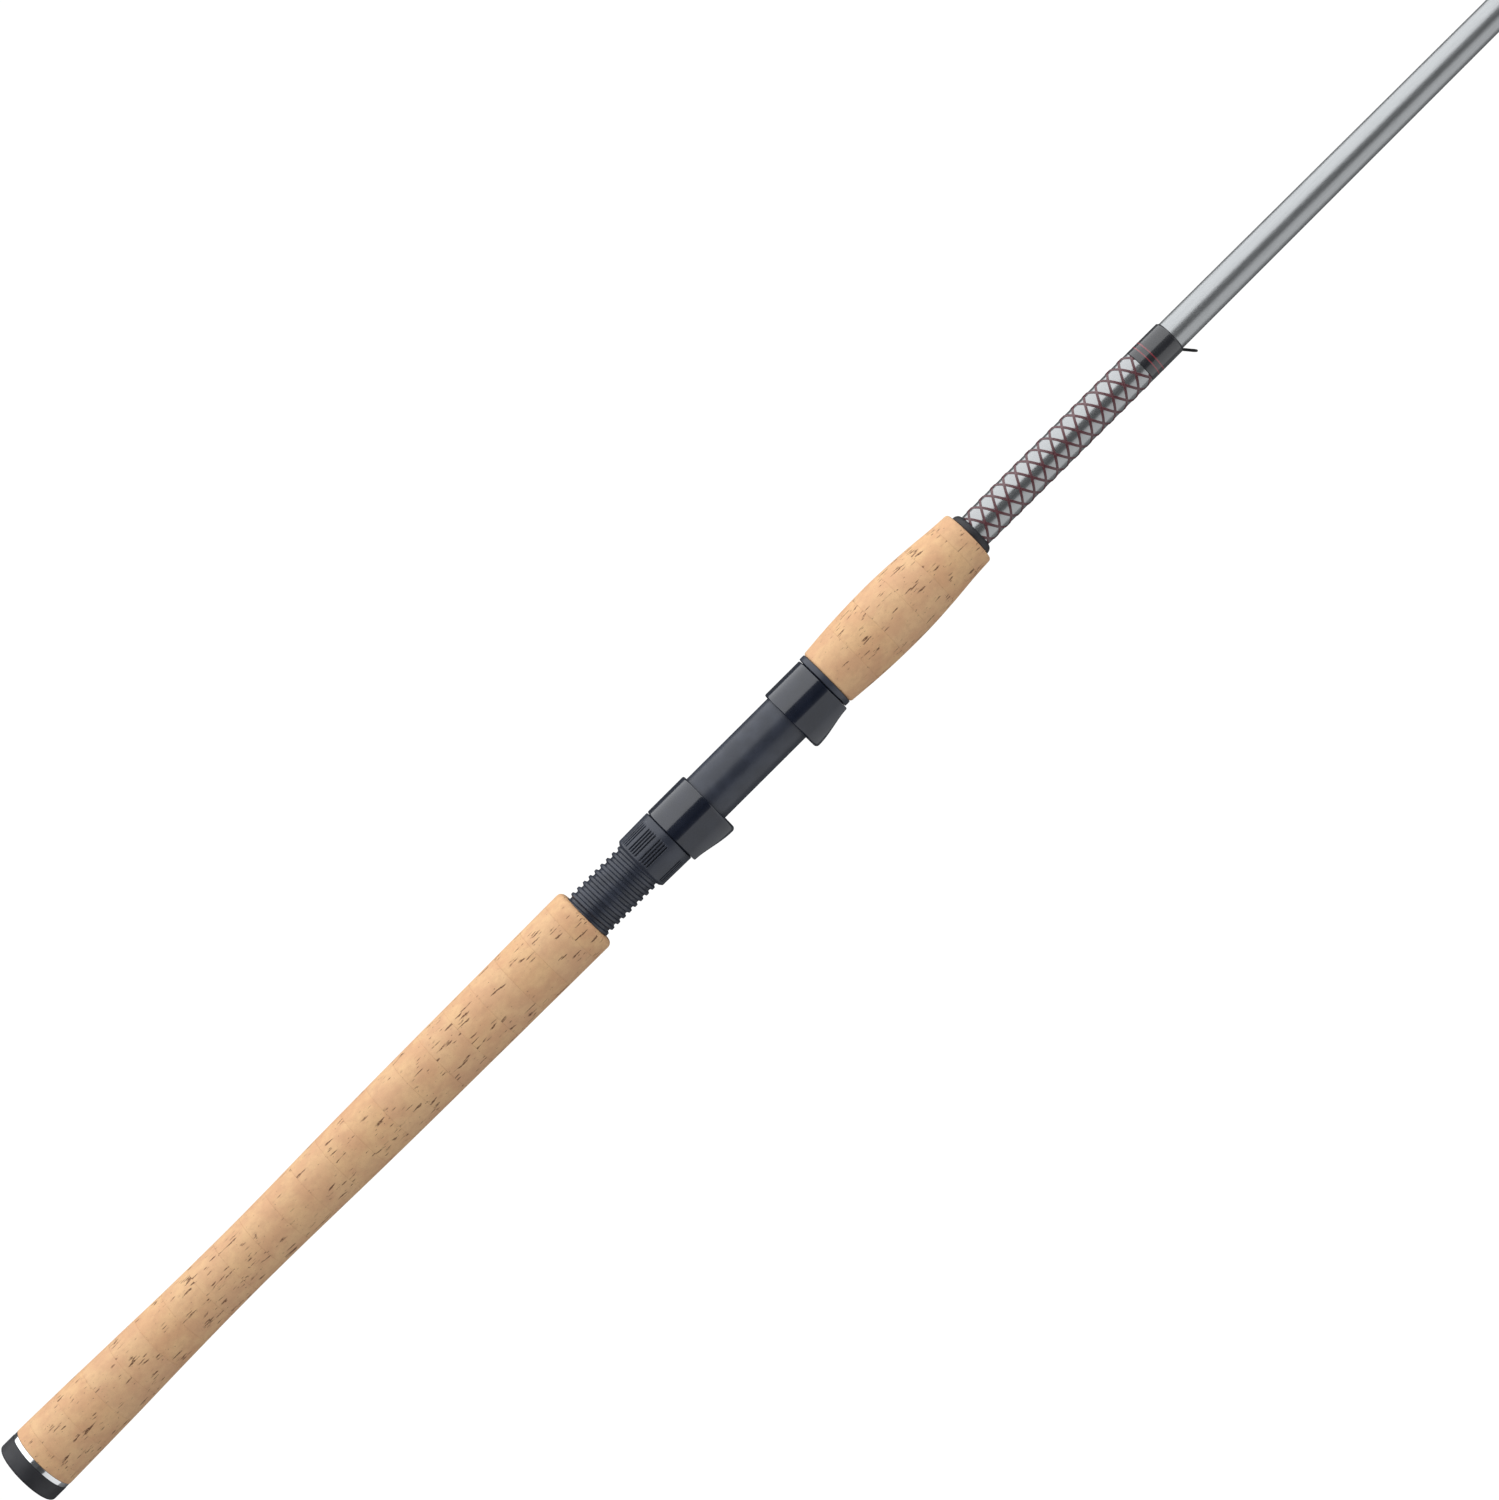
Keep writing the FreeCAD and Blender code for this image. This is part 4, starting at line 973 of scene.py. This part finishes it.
def guide_piece(number, body, tube):
    """One guide: rounded hoop, bent struts, flat feet and polished ring."""
    frame_node, ring_node = f"guide_{number}_frame", f"guide_{number}_ring"
    low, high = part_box(ring_node)
    centre = (low + high) / 2
    outer = (high[1] - low[1]) / 2
    parts = [hoop_piece(centre, outer, body)]
    frame_low, frame_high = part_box(frame_node)
    reach = HEEL_SHARE * -centre[2]
    hoop_radius = outer + HOOP_WALL / 2
    for direction in (1, -1):
        end = frame_high[0] if direction > 0 else frame_low[0]
        if abs(end - centre[0]) < reach:
            continue
        heel = centre[0] + direction * reach
        surface = -tube(heel)
        for side in (-1, 1):
            grip = Vector((centre[0], side * hoop_radius * math.cos(GRIP_LIFT),
                           centre[2] + hoop_radius * math.sin(GRIP_LIFT)))
            land = Vector((heel, side * STRUT_HALF_GAP, surface - STRUT_SINK))
            ahead = Vector((direction, 0, 0))
            path = []
            for s in range(STRUT_STEPS + 1):
                t = s / STRUT_STEPS
                straight = grip.lerp(land, min(t / 0.9, 1.0))
                bend = ease((t - 0.72) / 0.28)
                path.append(straight.lerp(land + ahead * (t - 0.8) * 6 * MM, bend * 0.6))
            parts.append(swept("strut", path, STRUT_RADIUS, MATERIALS["guide"], body,
                               sides=10))
        parts.append(foot_strip(heel, end, tube, direction, body))
    joined(f"{frame_node}_wire", parts)
    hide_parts(frame_node)
    ceramic_ring(ring_node, centre, outer, body)


def foot_strip(heel, end, tube, direction, body):
    """A flat foot that lies on the tube and thins to its end."""
    vertices = []
    steps, across = 10, 6
    for i in range(steps + 1):
        t = i / steps
        x = heel + (end - heel) * t - direction * FOOT_LEAD * (1 - t)
        half = FOOT_HALF * (1 - 0.35 * ease((t - 0.6) / 0.4))
        thick = FOOT_THICK * (1 - 0.75 * ease(t))
        under = tube(x)
        for j in range(across + 1):
            y = -half + 2 * half * j / across
            base = -math.sqrt(under * under - y * y)
            vertices.append((x, y, base - 0.02 * MM - thick * (1 - 0.5 * (y / half) ** 2)))
        for j in range(across, -1, -1):
            y = -half + 2 * half * j / across
            vertices.append((x, y, -math.sqrt(under * under - y * y) - 0.01 * MM))
    around = 2 * (across + 1)
    faces = ring_faces(steps + 1, around, False)
    faces.append(tuple(range(around))[::-1])
    faces.append(tuple(range(steps * around, (steps + 1) * around)))
    return new_object("foot", vertices, faces, MATERIALS["guide"], body)


def guides():
    """All guides and the wraps over their feet."""
    wraps = {"rod_butt": [], "rod_tip": []}
    for number in range(1, 7):
        body = "rod_butt" if number == 1 else "rod_tip"
        tube = BUTT_TUBE if number == 1 else TIP_TUBE
        guide_piece(number, body, tube)
        low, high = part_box(f"guide_{number}_frame")
        ring_low, ring_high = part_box(f"guide_{number}_ring")
        middle = (ring_low[0] + ring_high[0]) / 2
        reach = HEEL_SHARE * -(ring_low[2] + ring_high[2]) / 2
        for direction, end in ((1, high[0]), (-1, low[0])):
            if abs(end - middle) < reach:
                continue
            near = middle + direction * (reach + WRAP_SET_BACK)
            far = end + direction * WRAP_OVERRUN
            wraps[body].append(bound_wrap(
                f"wrap_{number}_{direction}", min(near, far), max(near, far), tube, WRAP_HEIGHT,
                MATERIALS["dark_wrap"], body, ends=2.2, around=48))
    for body, node_name in (("rod_butt", "guide_wraps_butt"), ("rod_tip", "guide_wraps_tip")):
        piece = joined(f"{node_name}_thread", wraps[body])
        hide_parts(node_name)
    low, high = span("ferrule_wrap")
    bound_wrap("ferrule_wrap_thread", low, high, TIP_TUBE, 0.40 * MM, MATERIALS["dark_wrap"],
               "rod_tip", ("ferrule_wrap",), ends=1.6, around=72)


def tip_top():
    """Tip-top: sleeve, hoop on two struts, and its ring."""
    low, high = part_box("tip_top_frame")
    ring_low, ring_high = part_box("tip_top_ring")
    centre = (ring_low + ring_high) / 2
    outer = (ring_high[1] - ring_low[1]) / 2
    sleeve_radius = 1.75 * MM
    sleeve = turned("sleeve", rounded_outline([
        (low[0], 1.3 * MM, 0),
        (low[0], sleeve_radius, 0.2 * MM),
        (high[0], sleeve_radius, 0.7 * MM),
        (high[0], 0.1 * MM, 0),
    ]), MATERIALS["guide"], "rod_tip", around=48)
    parts = [sleeve, hoop_piece(centre, outer, "rod_tip")]
    reach = outer + HOOP_WALL / 2
    for side in (-1, 1):
        grip = Vector((centre[0], side * reach * 0.9, centre[2] - reach * 0.43))
        land = Vector((low[0] + 3 * MM, side * 0.4 * MM, -1.5 * MM))
        parts.append(swept("strut", [grip.lerp(land, s / 10) for s in range(11)], 0.6 * MM,
                           MATERIALS["guide"], "rod_tip", sides=10))
    joined("tip_top_frame_wire", parts)
    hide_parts("tip_top_frame")
    ceramic_ring("tip_top_ring", centre, outer, "rod_tip")


# ---------------------------------------------------------------- stage, light and camera

ROD_MIDDLE = 1.0        # metres
FLOOR_HALF = 9.0
FLOOR_Z = -1.3


def floor_and_world():
    """A pale floor that only bounces light, and a surround that the camera sees as white."""
    material = new_material("pale_floor", (0.55, 0.55, 0.55), 0.9)[0]
    corners = ((-1, -1), (1, -1), (1, 1), (-1, 1))
    vertices = [(ROD_MIDDLE + FLOOR_HALF * x, FLOOR_HALF * y, FLOOR_Z) for x, y in corners]
    mesh = bpy.data.meshes.new("floor")
    mesh.from_pydata(vertices, [], [(0, 1, 2, 3)])
    mesh.materials.append(material)
    floor = bpy.data.objects.new("floor", mesh)
    bpy.context.collection.objects.link(floor)
    floor.visible_camera = False

    world = bpy.data.worlds.new("surround")
    bpy.context.scene.world = world
    world.use_nodes = True
    tree = world.node_tree
    tree.nodes.clear()
    seen = node(tree, "ShaderNodeLightPath").outputs["Is Camera Ray"]
    white = node(tree, "ShaderNodeBackground", {"Color": (1, 1, 1, 1), "Strength": 1.05})
    dim = node(tree, "ShaderNodeBackground", {"Color": (0.9, 0.95, 1.0, 1), "Strength": 0.10})
    mix = node(tree, "ShaderNodeMixShader", {0: seen, 1: dim.outputs[0], 2: white.outputs[0]})
    node(tree, "ShaderNodeOutputWorld", {"Surface": mix.outputs[0]})


def softbox(name, near_edge, far_edge, radiance, color=(1, 1, 1)):
    """A long rectangular light beside the rod, between two (y, z) edges along X."""
    near, far = Vector((ROD_MIDDLE, *near_edge)), Vector((ROD_MIDDLE, *far_edge))
    centre = (near + far) / 2
    across = far - near
    data = bpy.data.lights.new(name, "AREA")
    data.shape = "RECTANGLE"
    data.size, data.size_y = LIGHT_LENGTH, across.length
    data.energy = radiance * LIGHT_LENGTH * across.length
    data.color = color
    light = bpy.data.objects.new(name, data)
    along = Vector((1, 0, 0))
    facing = along.cross(across).normalized()
    if facing.dot(-centre + along) < 0:
        facing.negate()
    light.matrix_world = axes_matrix(along, (-facing).cross(along), -facing, centre)
    bpy.context.collection.objects.link(light)
    light.visible_camera = False
    return light


def axes_matrix(right, up, back, place):
    """A world matrix from three axes and a place."""
    rows = [(right[i], up[i], back[i], place[i]) for i in range(3)]
    return Matrix([*rows, (0, 0, 0, 1)])


# Each box of light: its near and far edge as (y, z) in metres, and its radiance.
BOX_ABOVE = ((-0.95, 0.30), (0.50, 0.75), 5.2)
BOX_BELOW = ((-0.75, -0.52), (0.20, -0.65), 2.0)
FRONT_FILL = ((-1.75, 0.0), (-1.5, 1.0), 1.7)


def lights():
    """A broad box above, a dimmer one below, and a fill that leaves no reflection."""
    cool = (0.97, 0.985, 1.0)
    softbox("box_above", *BOX_ABOVE, cool)
    softbox("box_below", *BOX_BELOW, cool)
    fill = softbox("front_fill", *FRONT_FILL)
    fill.visible_glossy = False


CAMERA_PLACE = (0.3605, -1.411, 0.0013)
CAMERA_ROLL = math.radians(44.852)
CAMERA_LENS = 96.06


def camera():
    """Long lens, level with the rod and rolled so that the rod runs from corner to corner."""
    data = bpy.data.cameras.new("camera")
    data.sensor_width = 36.0
    data.lens = CAMERA_LENS
    made = bpy.data.objects.new("camera", data)
    right = Vector((math.cos(CAMERA_ROLL), 0, -math.sin(CAMERA_ROLL)))
    up = Vector((math.sin(CAMERA_ROLL), 0, math.cos(CAMERA_ROLL)))
    back = right.cross(up)
    made.matrix_world = axes_matrix(right, up, back, CAMERA_PLACE)
    bpy.context.collection.objects.link(made)
    bpy.context.scene.camera = made
    bpy.context.scene.view_settings.view_transform = "Standard"


butt_end()
cork_grip("rear_cork_ring", MATERIALS["rear_cork"], JOINT_EDGE, REAR_EDGE)
cork_grip("fore_cork_ring", MATERIALS["fore_cork"], FORE_EDGE, FORE_EDGE)
reel_seat()
winding_check()
tubes()
decorative_wrap()
keeper_area()
guides()
tip_top()
frame["nodes"]["seat_arbors"].data.materials.clear()
frame["nodes"]["seat_arbors"].data.materials.append(MATERIALS["arbor"])
floor_and_world()
lights()
camera()
